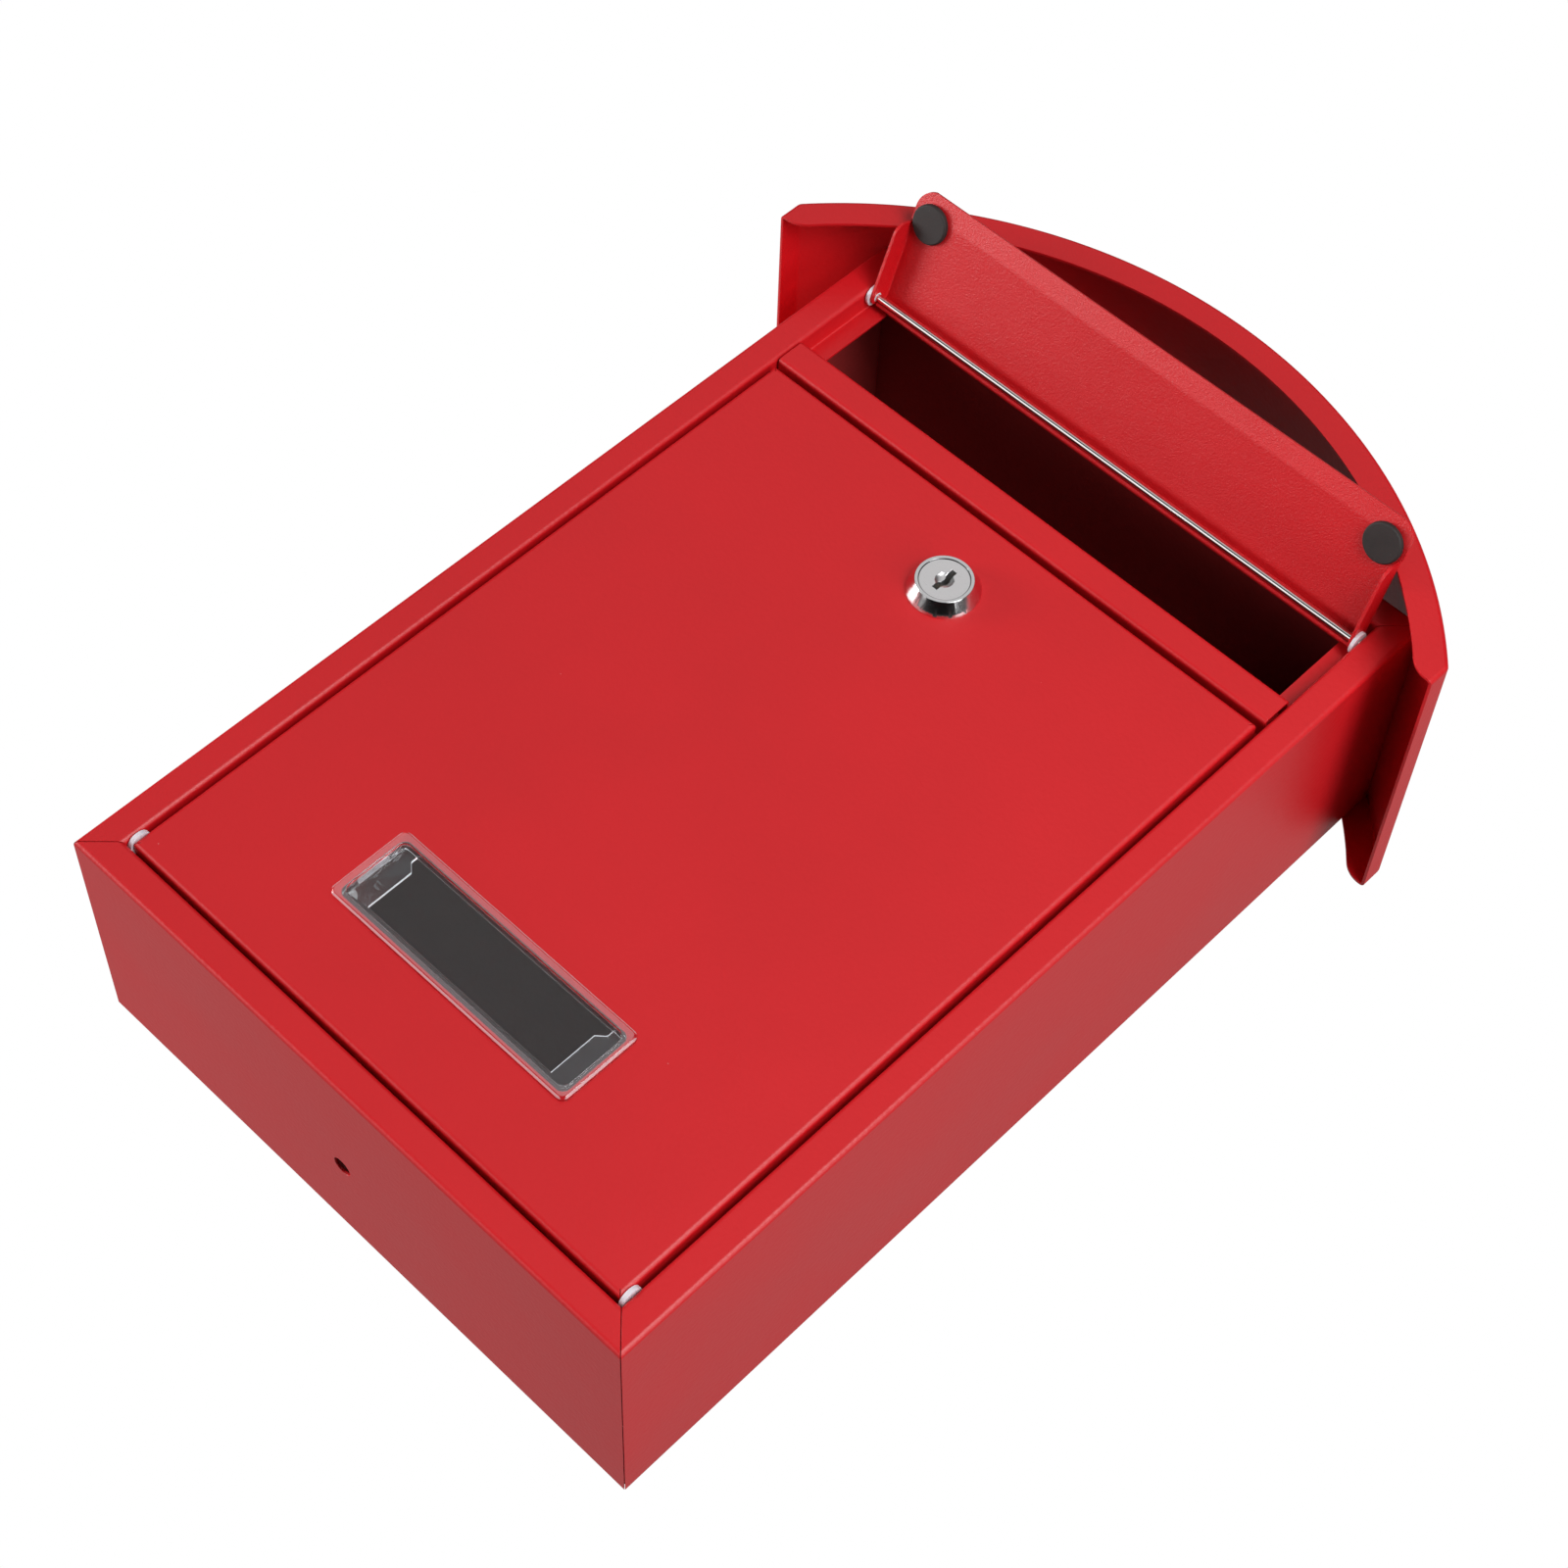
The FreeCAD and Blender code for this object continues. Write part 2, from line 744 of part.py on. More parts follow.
def lock_nut():
    """A hexagonal nut with both faces chamfered by a turned cone."""
    start = sheet + washer_thickness
    corner_radius = nut_across_flats / math.sqrt(3)
    corners = []
    for index in range(6):
        angle = math.radians(60 * index)
        corners.append((corner_radius * math.cos(angle), corner_radius * math.sin(angle)))
    origin = up * lock_z + back * start
    nut = rounded_face(corners, [0] * 6, origin, right, up).extrude(back * nut_thickness)
    chamfer = corner_radius - nut_across_flats / 2
    end = start + nut_thickness
    blank = [
        (start, 0),
        (start, nut_across_flats / 2),
        (start + chamfer / 2, corner_radius),
        (end - chamfer / 2, corner_radius),
        (end, nut_across_flats / 2),
        (end, 0),
    ]
    nut = nut.common(turned(blank, up * lock_z, back, up))
    bore = lock_barrel_diameter / 2 + lock_hole_gap
    return nut.cut(bar(bore, 0, 2 * end, up * lock_z, back))


def keyway():
    """The slot for the key, of even width with a jog in the middle."""
    half = keyway_width / 2
    top = keyway_height / 2
    rise = keyway_jog_half_height
    jog = keyway_jog
    corners = [
        (half, -top),
        (half, -rise - jog),
        (half + jog, -rise),
        (half + jog, rise),
        (half, rise + jog),
        (half, top),
        (-half, top),
        (-half, rise + jog),
        (jog - half, rise),
        (jog - half, -rise),
        (-half, -rise - jog),
        (-half, -top),
    ]
    origin = up * lock_z + back * (lock_face_front - sheet)
    face = rounded_face(corners, [0] * len(corners), origin, right, up)
    return face.extrude(back * (keyway_depth + sheet))


def lock_plug():
    """The plug: a dished face in the bezel, slots for the wafers and a square tenon."""
    face = lock_face_diameter / 2 - lock_running_gap
    tenon_end = cam_back - tenon_short
    profile = [
        (lock_face_front, 0),
        (lock_face_front, face),
        (lock_face_back, face),
        (lock_face_back, plug_radius),
        (plug_end, plug_radius),
        (plug_end, tenon_corner_diameter / 2),
        (tenon_end, tenon_corner_diameter / 2),
        (tenon_end, 0),
    ]
    plug = turned(profile, up * lock_z, back, up)
    corner = FreeCAD.Vector(-case_width, plug_end, 0)
    end_block = Part.makeBox(2 * case_width, 2 * cam_thickness, 2 * lock_z, corner)
    plug = plug.cut(end_block.cut(square_bar(tenon_width)))
    ball_radius = (dish_diameter ** 2 / 4 + dish_depth ** 2) / (2 * dish_depth)
    ball_y = lock_face_front + dish_depth - ball_radius
    dish = Part.makeSphere(ball_radius, FreeCAD.Vector(0, ball_y, lock_z))
    tap = bar(screw_diameter / 2 + lock_running_gap, -screw_length, 0, screw_seat(), back)
    slots = []
    for start in wafer_starts():
        slots.append(wafer_block(start, wafer_width + 2 * wafer_gap, 2 * plug_radius, wafer_gap))
    return plug.cut([dish, keyway(), tap] + slots)


def square_bar(width):
    corner = FreeCAD.Vector(-width / 2, 0, lock_z - width / 2)
    return Part.makeBox(width, 2 * case_depth, width, corner)


def screw_seat():
    """Where the cam's screw head bears on the spring washer."""
    return FreeCAD.Vector(0, cam_back + spring_washer_thickness, lock_z)


def wafer_starts():
    return [wafer_first + index * wafer_pitch for index in range(wafer_count)]


def wafer_block(start, width, height, gap):
    corner = FreeCAD.Vector(-width / 2, start - gap, lock_z - height / 2)
    return Part.makeBox(width, wafer_thickness + 2 * gap, height, corner)


def lock_wafers():
    """Thin plates in the plug, each with a window round the keyway."""
    wafers = []
    for start in wafer_starts():
        plate = wafer_block(start, wafer_width, wafer_height, 0)
        window = wafer_block(start, wafer_window_width, wafer_window_height, wafer_gap)
        wafers.append(plate.cut(window))
    return Part.makeCompound(wafers)


def lock_cam():
    """A cranked strip on the plug's tenon that turns up behind the crossbar."""
    hub_y = cam_front + cam_thickness / 2
    tip_y = stop_depth + cam_hook_gap + cam_thickness / 2
    section = [
        (-cam_width / 2, hub_y),
        (cam_crank_start, hub_y),
        (cam_crank_end, tip_y),
        (cam_reach, tip_y),
    ]
    points, radii = folded_outline(section, [cam_crank_bend] * 2, cam_thickness)
    origin = up * (lock_z - cam_width / 2)
    strip = rounded_face(points, radii, origin, left, back).extrude(up * cam_width)
    hub = cam_width / 2
    tip = cam_tip_width / 2
    outline = [(-hub, -hub), (cam_reach, -tip), (cam_reach, tip), (-hub, hub)]
    corner_radii = [0.9 * hub, cam_tip_radius, cam_tip_radius, 0.9 * hub]
    blank = rounded_face(outline, corner_radii, up * lock_z, left, up)
    cam = strip.common(blank.extrude(back * 2 * case_depth))
    return cam.cut(square_bar(tenon_width + 2 * tenon_gap))


def cam_washer():
    bore = screw_diameter / 2 + lock_running_gap
    end = cam_back + spring_washer_thickness
    return tube(bore, spring_washer_diameter / 2, cam_back, end, up * lock_z, back, up)


def cam_screw():
    """A pan head screw with a cross recess, threaded into the plug."""
    radius = screw_head_diameter / 2
    shank_radius = screw_diameter / 2
    profile = [
        (-screw_length, 0),
        (-screw_length, shank_radius),
        (0, shank_radius),
        (0, radius),
        (screw_head_height / 2, radius),
        (screw_head_height, screw_recess_length / 2 + screw_head_land),
        (screw_head_height, 0),
    ]
    screw = turned(profile, screw_seat(), back, up)
    arms = []
    for width, height in (
        (screw_recess_width, screw_recess_length),
        (screw_recess_length, screw_recess_width),
    ):
        corner = screw_seat() + back * (screw_head_height - screw_recess_depth)
        corner += left * (width / 2) + down * (height / 2)
        arms.append(Part.makeBox(width, 2 * screw_recess_depth, height, corner))
    return screw.cut(arms)


def all_pieces():
    flap_axis = (flap_axis_depth, flap_axis_z)
    door_axis = (door_axis_depth, door_axis_z)
    return {
        "body_shell": body_shell(),
        "roof": roof(),
        "crossbar": crossbar(),
        "flap_rod": hinge_rod(*flap_axis),
        "door_rod": hinge_rod(*door_axis),
        "flap_panel": opened(flap_panel()),
        "flap_bush_left": opened(bush(*flap_axis, left, flap_half_width)),
        "flap_bush_right": opened(bush(*flap_axis, right, flap_half_width)),
        "flap_pad_left": opened(flap_pad(left)),
        "flap_pad_right": opened(flap_pad(right)),
        "door_panel": door_panel(),
        "door_bush_left": bush(*door_axis, left, door_half_width),
        "door_bush_right": bush(*door_axis, right, door_half_width),
        "name_window": name_window(),
        "lock_housing": lock_housing(),
        "lock_washer": lock_washer(),
        "lock_nut": lock_nut(),
        "lock_plug": lock_plug(),
        "lock_wafers": lock_wafers(),
        "lock_cam": lock_cam(),
        "cam_washer": cam_washer(),
        "cam_screw": cam_screw(),
    }


os.makedirs("parts", exist_ok=True)
to_origin = FreeCAD.Vector(0, -case_depth, -fixing_centre_height)
for name, shape in all_pieces().items():
    placed = shape.copy()
    placed.translate(to_origin)
    placed.exportStep("parts/" + name + ".step")
print("flap opens by", round(flap_open_angle(), 3), "degrees")
print("flap axis at", 0, flap_axis_depth - case_depth, flap_axis_z - fixing_centre_height)
print("door axis at", 0, door_axis_depth - case_depth, door_axis_z - fixing_centre_height)
print("lock axis at", 0, -case_depth, round(lock_z - fixing_centre_height, 3))
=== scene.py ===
import bpy
import bmesh
import json
import math
from mathutils import Matrix, Vector


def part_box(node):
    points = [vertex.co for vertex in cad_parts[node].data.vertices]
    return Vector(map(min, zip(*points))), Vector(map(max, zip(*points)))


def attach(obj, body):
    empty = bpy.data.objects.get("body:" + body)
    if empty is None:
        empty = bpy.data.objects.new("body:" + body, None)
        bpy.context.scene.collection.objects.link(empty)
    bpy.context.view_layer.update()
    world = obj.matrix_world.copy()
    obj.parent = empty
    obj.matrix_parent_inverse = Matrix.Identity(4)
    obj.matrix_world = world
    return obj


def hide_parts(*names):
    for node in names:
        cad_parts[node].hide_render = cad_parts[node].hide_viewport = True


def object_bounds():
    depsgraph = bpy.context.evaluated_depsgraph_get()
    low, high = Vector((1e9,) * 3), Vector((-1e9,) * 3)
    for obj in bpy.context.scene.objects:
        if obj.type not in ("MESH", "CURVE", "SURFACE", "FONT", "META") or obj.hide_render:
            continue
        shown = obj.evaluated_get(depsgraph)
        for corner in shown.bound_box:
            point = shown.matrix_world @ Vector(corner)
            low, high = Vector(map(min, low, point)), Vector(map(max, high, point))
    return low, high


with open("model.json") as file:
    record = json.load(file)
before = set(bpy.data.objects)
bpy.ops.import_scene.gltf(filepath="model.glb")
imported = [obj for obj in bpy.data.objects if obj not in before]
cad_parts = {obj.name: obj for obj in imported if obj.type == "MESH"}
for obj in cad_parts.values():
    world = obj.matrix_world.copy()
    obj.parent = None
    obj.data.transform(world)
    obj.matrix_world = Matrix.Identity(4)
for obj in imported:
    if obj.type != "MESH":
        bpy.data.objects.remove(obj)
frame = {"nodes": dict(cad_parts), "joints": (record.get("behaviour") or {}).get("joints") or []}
cad_low, cad_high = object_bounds()


# The case: one blank of 1 mm sheet steel folded into a tray, with its front flanges
# returned round the opening and mitred at the corners. It is painted after folding with
# a satin red powder that is baked on, so the coat is slightly pebbled and rounds the edges.

def place(tree, kind, values=None, **settings):
    """Adds a node to a tree, sets it up, and links or fills its inputs by name or number."""
    made = tree.nodes.new(kind)
    for name, value in settings.items():
        setattr(made, name, value)
    for key, value in (values or {}).items():
        if isinstance(value, bpy.types.NodeSocket):
            tree.links.new(value, made.inputs[key])
        else:
            made.inputs[key].default_value = value
    return made


def effect(name, inputs, outputs):
    """A shader node group with named number inputs, a position, and the named outputs."""
    group = bpy.data.node_groups.new(name, "ShaderNodeTree")
    group.interface.new_socket("Position", in_out="INPUT", socket_type="NodeSocketVector")
    for label, value in inputs.items():
        made = group.interface.new_socket(label, in_out="INPUT", socket_type="NodeSocketFloat")
        made.default_value = value
    for label in outputs:
        group.interface.new_socket(label, in_out="OUTPUT", socket_type="NodeSocketFloat")
    entry = group.nodes.new("NodeGroupInput")
    leave = group.nodes.new("NodeGroupOutput")
    return group, entry.outputs, leave.inputs


def use_effect(tree, group, values):
    """Places an effect in a material, reading the piece's own coordinates in metres."""
    coordinates = place(tree, "ShaderNodeTexCoord").outputs["Object"]
    made = tree.nodes.new("ShaderNodeGroup")
    made.node_tree = group
    tree.links.new(coordinates, made.inputs["Position"])
    for label, value in values.items():
        made.inputs[label].default_value = value
    return made.outputs


def new_finish(name, **values):
    """A material with one shader, whose even values are set on its own sockets."""
    made = bpy.data.materials.new(name)
    made.use_nodes = True
    tree = made.node_tree
    tree.nodes.clear()
    shader = place(tree, "ShaderNodeBsdfPrincipled")
    for label, value in values.items():
        shader.inputs[label.replace("_", " ")].default_value = value
    place(tree, "ShaderNodeOutputMaterial", {"Surface": shader.outputs["BSDF"]})
    return made, tree, shader


def between(tree, mask, low, high):
    """A number that goes from low to high as a mask goes from 0 to 1."""
    values = {"Value": mask, "To Min": low, "To Max": high}
    return place(tree, "ShaderNodeMapRange", values).outputs["Result"]


def blended(tree, mask, first, second):
    """A colour that goes from the first to the second as a mask goes from 0 to 1."""
    mix = place(tree, "ShaderNodeMix", {0: mask, 6: first, 7: second}, data_type="RGBA")
    return mix.outputs[2]


def relief(tree, shader, height, strength, distance):
    """Feeds a height to the shader's normal through a bump."""
    values = {"Height": height, "Strength": strength, "Distance": distance}
    bump = place(tree, "ShaderNodeBump", values)
    tree.links.new(bump.outputs["Normal"], shader.inputs["Normal"])


def maths(tree, operation, *values, **settings):
    """The result of a Math node on up to three numbers or sockets."""
    made = place(tree, "ShaderNodeMath", dict(enumerate(values)), operation=operation, **settings)
    return made.outputs[0]


def noise(tree, position, scale, detail, **values):
    """The value of a noise texture, about 0.5 on average."""
    values = {"Vector": position, "Scale": scale, "Detail": detail, **values}
    return place(tree, "ShaderNodeTexNoise", values).outputs["Fac"]


def face_mark(tree, label):
    """The number that each face of a piece was given under a label."""
    return place(tree, "ShaderNodeAttribute", attribute_name=label).outputs["Fac"]


# Pebbling of a baked powder: soft bumps a millimetre or two across under a finer grain.
pebbling, given, result = effect(
    "Powder pebbling", {"Pebble Size": 0.0016, "Grain Size": 0.0003, "Grain": 0.3}, ["Height"]
)
pebbles = maths(pebbling, "DIVIDE", 1.0, given["Pebble Size"])
broad = noise(pebbling, given["Position"], pebbles, detail=1.0, Roughness=0.4)
grains = maths(pebbling, "DIVIDE", 1.0, given["Grain Size"])
fine = noise(pebbling, given["Position"], grains, detail=2.0)
weighed = maths(pebbling, "MULTIPLY_ADD", fine, given["Grain"], broad)
pebbling.links.new(weighed, result["Height"])

# Dust: single specks, most of them missing, each with its own place in its cell.
dust, given, result = effect(
    "Dust specks", {"Spacing": 0.006, "Speck Size": 0.05, "Share": 0.2}, ["Mask"]
)
cells = maths(dust, "DIVIDE", 1.0, given["Spacing"])
scattered = place(
    dust, "ShaderNodeTexVoronoi", {"Vector": given["Position"], "Scale": cells}
).outputs
near = maths(dust, "LESS_THAN", scattered["Distance"], given["Speck Size"])
pick = place(dust, "ShaderNodeSeparateColor", {"Color": scattered["Color"]}).outputs[0]
shown = maths(dust, "LESS_THAN", pick, given["Share"])
dust.links.new(maths(dust, "MULTIPLY", near, shown), result["Mask"])

# Cloudiness: wide, faint unevenness, such as the thickness of a coat or the touch of hands.
clouds, given, result = effect("Clouds", {"Cloud Size": 0.05, "Contrast": 1.0}, ["Mask"])
spread = maths(clouds, "DIVIDE", 1.0, given["Cloud Size"])
drift = noise(clouds, given["Position"], spread, detail=3.0, Roughness=0.55)
centred = maths(clouds, "SUBTRACT", drift, 0.5)
stretched = maths(clouds, "MULTIPLY_ADD", centred, given["Contrast"], 0.5, use_clamp=True)
clouds.links.new(stretched, result["Mask"])

powder_red = (0.60, 0.006, 0.011, 1)
powder_thin_red = (0.54, 0.005, 0.009, 1)
painted_shade_red = (0.30, 0.024, 0.024, 1)
powder_dust = (0.62, 0.22, 0.22, 1)


def powder_coat(name, glossiest, dullest, pebble, grain, bumps):
    """A baked red powder with its own gloss, size of pebbles, share of grain and height."""
    coated, tree, shader = new_finish(name, Roughness=dullest)
    thickness = use_effect(tree, clouds, {"Cloud Size": 0.06, "Contrast": 1.6})["Mask"]
    specks = use_effect(tree, dust, {"Spacing": 0.007, "Speck Size": 0.022, "Share": 0.12})["Mask"]
    outside = blended(tree, thickness, powder_thin_red, powder_red)
    # Faces marked inside the case take a darker red: painted shade for the dim inside of the case.
    inside = face_mark(tree, "Inside")
    coat = blended(tree, inside, outside, painted_shade_red)
    tree.links.new(blended(tree, specks, coat, powder_dust), shader.inputs["Base Color"])
    tree.links.new(between(tree, thickness, glossiest, dullest), shader.inputs["Roughness"])
    pebbled = use_effect(
        tree, pebbling, {"Pebble Size": pebble, "Grain Size": 0.00032, "Grain": grain}
    )["Height"]
    relief(tree, shader, pebbled, strength=0.6, distance=bumps)
    return coated


red_powder = powder_coat(
    "Red powder coat", glossiest=0.38, dullest=0.46, pebble=0.0015, grain=0.35, bumps=0.00012
)


def plain_mesh(piece):
    """Turns what a piece's modifiers make into its own mesh."""
    evaluated = piece.evaluated_get(bpy.context.evaluated_depsgraph_get())
    shaped = bpy.data.meshes.new_from_object(evaluated)
    shaped.name = piece.name
    piece.modifiers.clear()
    piece.data = shaped
    return piece


def ease(piece, width, angle=40, segments=2):
    """Rounds the edges of a piece that turn by more than an angle."""
    bevel = piece.modifiers.new("Eased edges", "BEVEL")
    bevel.width = width
    bevel.segments = segments
    bevel.limit_method = "ANGLE"
    bevel.angle_limit = math.radians(angle)
    bevel.use_clamp_overlap = False
    return piece


def settled(piece, fold_angle=40):
    """Applies a piece's modifiers and shades it smooth, apart from its sharp edges."""
    plain_mesh(piece)
    piece.data.shade_smooth()
    piece.data.set_sharp_from_angle(angle=math.radians(fold_angle))
    weigh = piece.modifiers.new("Flat faces flat", "WEIGHTED_NORMAL")
    weigh.keep_sharp = True
    return plain_mesh(piece)


def finished_copy(name, node, edge, fold_angle=40):
    """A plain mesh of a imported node: joined up, its flats cleared, its sharp edges eased."""
    weld_reach = 2e-6
    shortest_edge = 1e-6
    flat_within = math.radians(0.3)
    mesh = bmesh.new()
    mesh.from_mesh(frame["nodes"][node].data)
    bmesh.ops.remove_doubles(mesh, verts=mesh.verts, dist=weld_reach)
    bmesh.ops.dissolve_degenerate(mesh, edges=mesh.edges, dist=shortest_edge)
    bmesh.ops.dissolve_limit(mesh, angle_limit=flat_within, verts=mesh.verts, edges=mesh.edges)
    data = bpy.data.meshes.new(name)
    mesh.to_mesh(data)
    mesh.free()
    piece = bpy.data.objects.new(name, data)
    bpy.context.scene.collection.objects.link(piece)
    if edge:
        ease(piece, edge, fold_angle)
    return settled(piece, fold_angle)


def fitted(piece, material, body, slot, *nodes):
    """Gives a finished piece its material and its body, and hides the nodes that it stands for.
    The slot is not used.
    """
    piece.data.materials.clear()
    piece.data.materials.append(material)
    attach(piece, body)
    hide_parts(*nodes)
    return piece


def mark_faces(piece, label, amount):
    """Stores a number for every face of a piece, which its material reads by the label."""
    layer = piece.data.attributes.new(label, "FLOAT", "FACE")
    layer.data.foreach_set("value", [amount(face) for face in piece.data.polygons])


case_low, case_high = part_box("body_shell")
wall_margin = 0.0008
return_depth = 0.02


def shaded_inside_case(face):
    """1 for faces deep within the case's walls, which get a darker red as painted shade for the
    dim inside of the case.
    """
    spot = face.center
    between_sides = case_low.x + wall_margin < spot.x < case_high.x - wall_margin
    between_ends = case_low.z + wall_margin < spot.z < case_high.z - wall_margin
    deep = case_low.y + return_depth < spot.y < case_high.y - wall_margin / 2
    return 1.0 if between_sides and between_ends and deep else 0.0


cut_edge = 0.00012
case_tray = finished_copy("case_tray", "body_shell", cut_edge)
mark_faces(case_tray, "Inside", shaded_inside_case)
fitted(case_tray, red_powder, "case", "red_paint", "body_shell")


# The crossbar between the posting slot and the door: a narrow folded channel welded
# across the opening, painted with the case.

slot_bar = finished_copy("slot_crossbar", "crossbar", cut_edge)
fitted(slot_bar, red_powder, "case", "red_paint", "crossbar")


# The roof: a sheet rolled to an arc over the case, with short upright skirts at its sides
# and a rim turned in along the front and the back. It sits on the case's top corners.

def new_tree(name, inputs):
    """A geometry tree with named inputs. Returns it, its input sockets and its output."""
    tree = bpy.data.node_groups.new(name, "GeometryNodeTree")
    tree.is_modifier = True
    tree.interface.new_socket("Mesh", in_out="OUTPUT", socket_type="NodeSocketGeometry")
    for label, value in inputs.items():
        kind = "NodeSocketMaterial" if isinstance(value, bpy.types.Material) else (
            "NodeSocketInt" if isinstance(value, int) else "NodeSocketFloat"
        )
        tree.interface.new_socket(label, in_out="INPUT", socket_type=kind)
    entry = tree.nodes.new("NodeGroupInput")
    leave = tree.nodes.new("NodeGroupOutput")
    return tree, entry.outputs, leave.inputs["Mesh"]


def shaped_by(name, tree, inputs):
    """An object whose mesh a geometry tree makes, with the tree's inputs filled in."""
    piece = bpy.data.objects.new(name, bpy.data.meshes.new(name))
    bpy.context.scene.collection.objects.link(piece)
    modifier = piece.modifiers.new(tree.name, "NODES")
    modifier.node_group = tree
    for socket in tree.interface.items_tree:
        if socket.in_out == "INPUT" and socket.name in inputs:
            modifier[socket.identifier] = inputs[socket.name]
    return piece


def point(tree, x, y, z=0.0):
    """A vector from numbers or sockets."""
    return place(tree, "ShaderNodeCombineXYZ", {"X": x, "Y": y, "Z": z}).outputs[0]


def moved(tree, shape, turn=(0, 0, 0), shift=(0, 0, 0)):
    """A shape turned about the origin and then shifted."""
    values = {"Geometry": shape, "Rotation": turn, "Translation": shift}
    return place(tree, "GeometryNodeTransform", values).outputs["Geometry"]


def merged(tree, shape, reach):
    """A shape whose points within reach of each other are made one."""
    values = {"Geometry": shape, "Distance": reach}
    return place(tree, "GeometryNodeMergeByDistance", values).outputs["Geometry"]


def joined(tree, *parts):
    """Several pieces of geometry as one."""
    join = tree.nodes.new("GeometryNodeJoinGeometry")
    for part in parts:
        tree.links.new(part, join.inputs["Geometry"])
    return join.outputs["Geometry"]


def end_tree(tree, shape, material, leave):
    """Realizes what is instanced and sets the material, as every tree here ends."""
    plain = place(tree, "GeometryNodeRealizeInstances", {"Geometry": shape})
    values = {"Geometry": plain.outputs["Geometry"], "Material": material}
    coated = place(tree, "GeometryNodeSetMaterial", values)
    tree.links.new(coated.outputs["Geometry"], leave)


roof_low, roof_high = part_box("roof")
roof_sizes = {
    "Radius": 0.1655,
    "Rim": 0.010,
    "Half Width": roof_high.x,
    "Crown": roof_high.z,
    "Floor": roof_low.z,
    "Front": -roof_low.y,
    "Back": -roof_high.y,
    "Shoulder Radius": 0.003,
    "Tip Radius": 0.0095,
    "Arc Points": 97,
    "Coat": red_powder,
}
tree, given, leave = new_tree("Arched roof", roof_sizes)
tiny = 1e-5
corner_points = 10
centre = maths(tree, "SUBTRACT", given["Crown"], given["Radius"])
mouth_radius = maths(tree, "SUBTRACT", given["Radius"], given["Rim"])
half_width = given["Half Width"]


def square(value):
    """A number times itself."""
    return maths(tree, "MULTIPLY", value, value)


def across(radius, height):
    """Half the width of a circle about the arch's centre, at a height."""
    rise = maths(tree, "SUBTRACT", height, centre)
    return maths(tree, "SQRT", maths(tree, "SUBTRACT", square(radius), square(rise)))


def arch(radius, half, height):
    """An arc from left to right over the arch's centre."""
    ends_and_crown = {
        "Resolution": given["Arc Points"],
        "Start": point(tree, maths(tree, "MULTIPLY", half, -1.0), height),
        "Middle": point(tree, 0.0, maths(tree, "ADD", centre, radius)),
        "End": point(tree, half, height),
    }
    arc = place(tree, "GeometryNodeCurveArc", ends_and_crown, mode="POINTS")
    return arc.outputs["Curve"]


def run(start, end):
    """A straight line between two points."""
    return place(tree, "GeometryNodeCurvePrimitiveLine", {"Start": start, "End": end}).outputs[0]


# The outline of the front: the outer arc on its upright skirts, and the arc of the mouth,
# which ends a little above the tips so that they have straight sides to be rounded.
straight_share = 0.75
rise_squared = maths(tree, "SUBTRACT", square(given["Radius"]), square(half_width))
spring = maths(tree, "ADD", centre, maths(tree, "SQRT", rise_squared))
mouth_half = across(mouth_radius, given["Floor"])
tip_top = maths(tree, "MULTIPLY_ADD", given["Tip Radius"], straight_share, given["Floor"])
tip_half = across(mouth_radius, tip_top)
pieces_of_outline = [
    arch(given["Radius"], half_width, spring),
    arch(mouth_radius, tip_half, tip_top),
]
for side in (-1.0, 1.0):
    skirt_x = maths(tree, "MULTIPLY", half_width, side)
    foot = point(tree, skirt_x, given["Floor"])
    tip = point(tree, maths(tree, "MULTIPLY", mouth_half, side), given["Floor"])
    tip_end = point(tree, maths(tree, "MULTIPLY", tip_half, side), tip_top)
    pieces_of_outline.append(run(foot, point(tree, skirt_x, spring)))
    pieces_of_outline.append(run(foot, tip))
    pieces_of_outline.append(run(tip, tip_end))
wires = place(tree, "GeometryNodeCurveToMesh", {"Curve": joined(tree, *pieces_of_outline)})
welded = merged(tree, wires.outputs["Mesh"], tiny)
outline = place(tree, "GeometryNodeMeshToCurve", {"Mesh": welded})
position = place(tree, "GeometryNodeInputPosition").outputs[0]
spot = place(tree, "ShaderNodeSeparateXYZ", {0: position}).outputs
out_x = maths(tree, "ABSOLUTE", spot["X"])
height = spot["Y"]


def at(corner_x, corner_height):
    """1 on the outline's corners at a distance from the middle and a height."""
    same_x = maths(tree, "COMPARE", out_x, corner_x, tiny)
    same_height = maths(tree, "COMPARE", height, corner_height, tiny)
    return maths(tree, "MULTIPLY", same_x, same_height)


shoulders = maths(tree, "MULTIPLY", at(half_width, spring), given["Shoulder Radius"])
tips = maths(tree, "MULTIPLY", at(mouth_half, given["Floor"]), given["Tip Radius"])
fillets = {
    "Curve": outline.outputs["Curve"],
    "Count": corner_points,
    "Radius": maths(tree, "ADD", shoulders, tips),
}
rounded = place(tree, "GeometryNodeFilletCurve", fillets, mode="POLY")
rim = place(tree, "GeometryNodeFillCurve", {"Curve": rounded.outputs["Curve"]}, mode="NGONS")

# The sheet: the front rim, drawn back along the outer edge to a rim like it at the back.
front_rim = moved(tree, rim.outputs["Mesh"], shift=point(tree, 0.0, 0.0, given["Front"]))
rise = maths(tree, "SUBTRACT", height, centre)
from_centre = maths(tree, "SQRT", maths(tree, "ADD", square(out_x), square(rise)))
past_rim = maths(tree, "MULTIPLY_ADD", given["Rim"], 0.5, mouth_radius)
is_outer = maths(tree, "GREATER_THAN", from_centre, past_rim)
above_floor = maths(tree, "GREATER_THAN", height, maths(tree, "ADD", given["Floor"], tiny))
drawn_back = {
    "Mesh": front_rim,
    "Selection": maths(tree, "MULTIPLY", is_outer, above_floor),
    "Offset": point(tree, 0.0, 0.0, 1.0),
    "Offset Scale": maths(tree, "SUBTRACT", given["Back"], given["Front"]),
}
sheet = place(tree, "GeometryNodeExtrudeMesh", drawn_back, mode="EDGES")
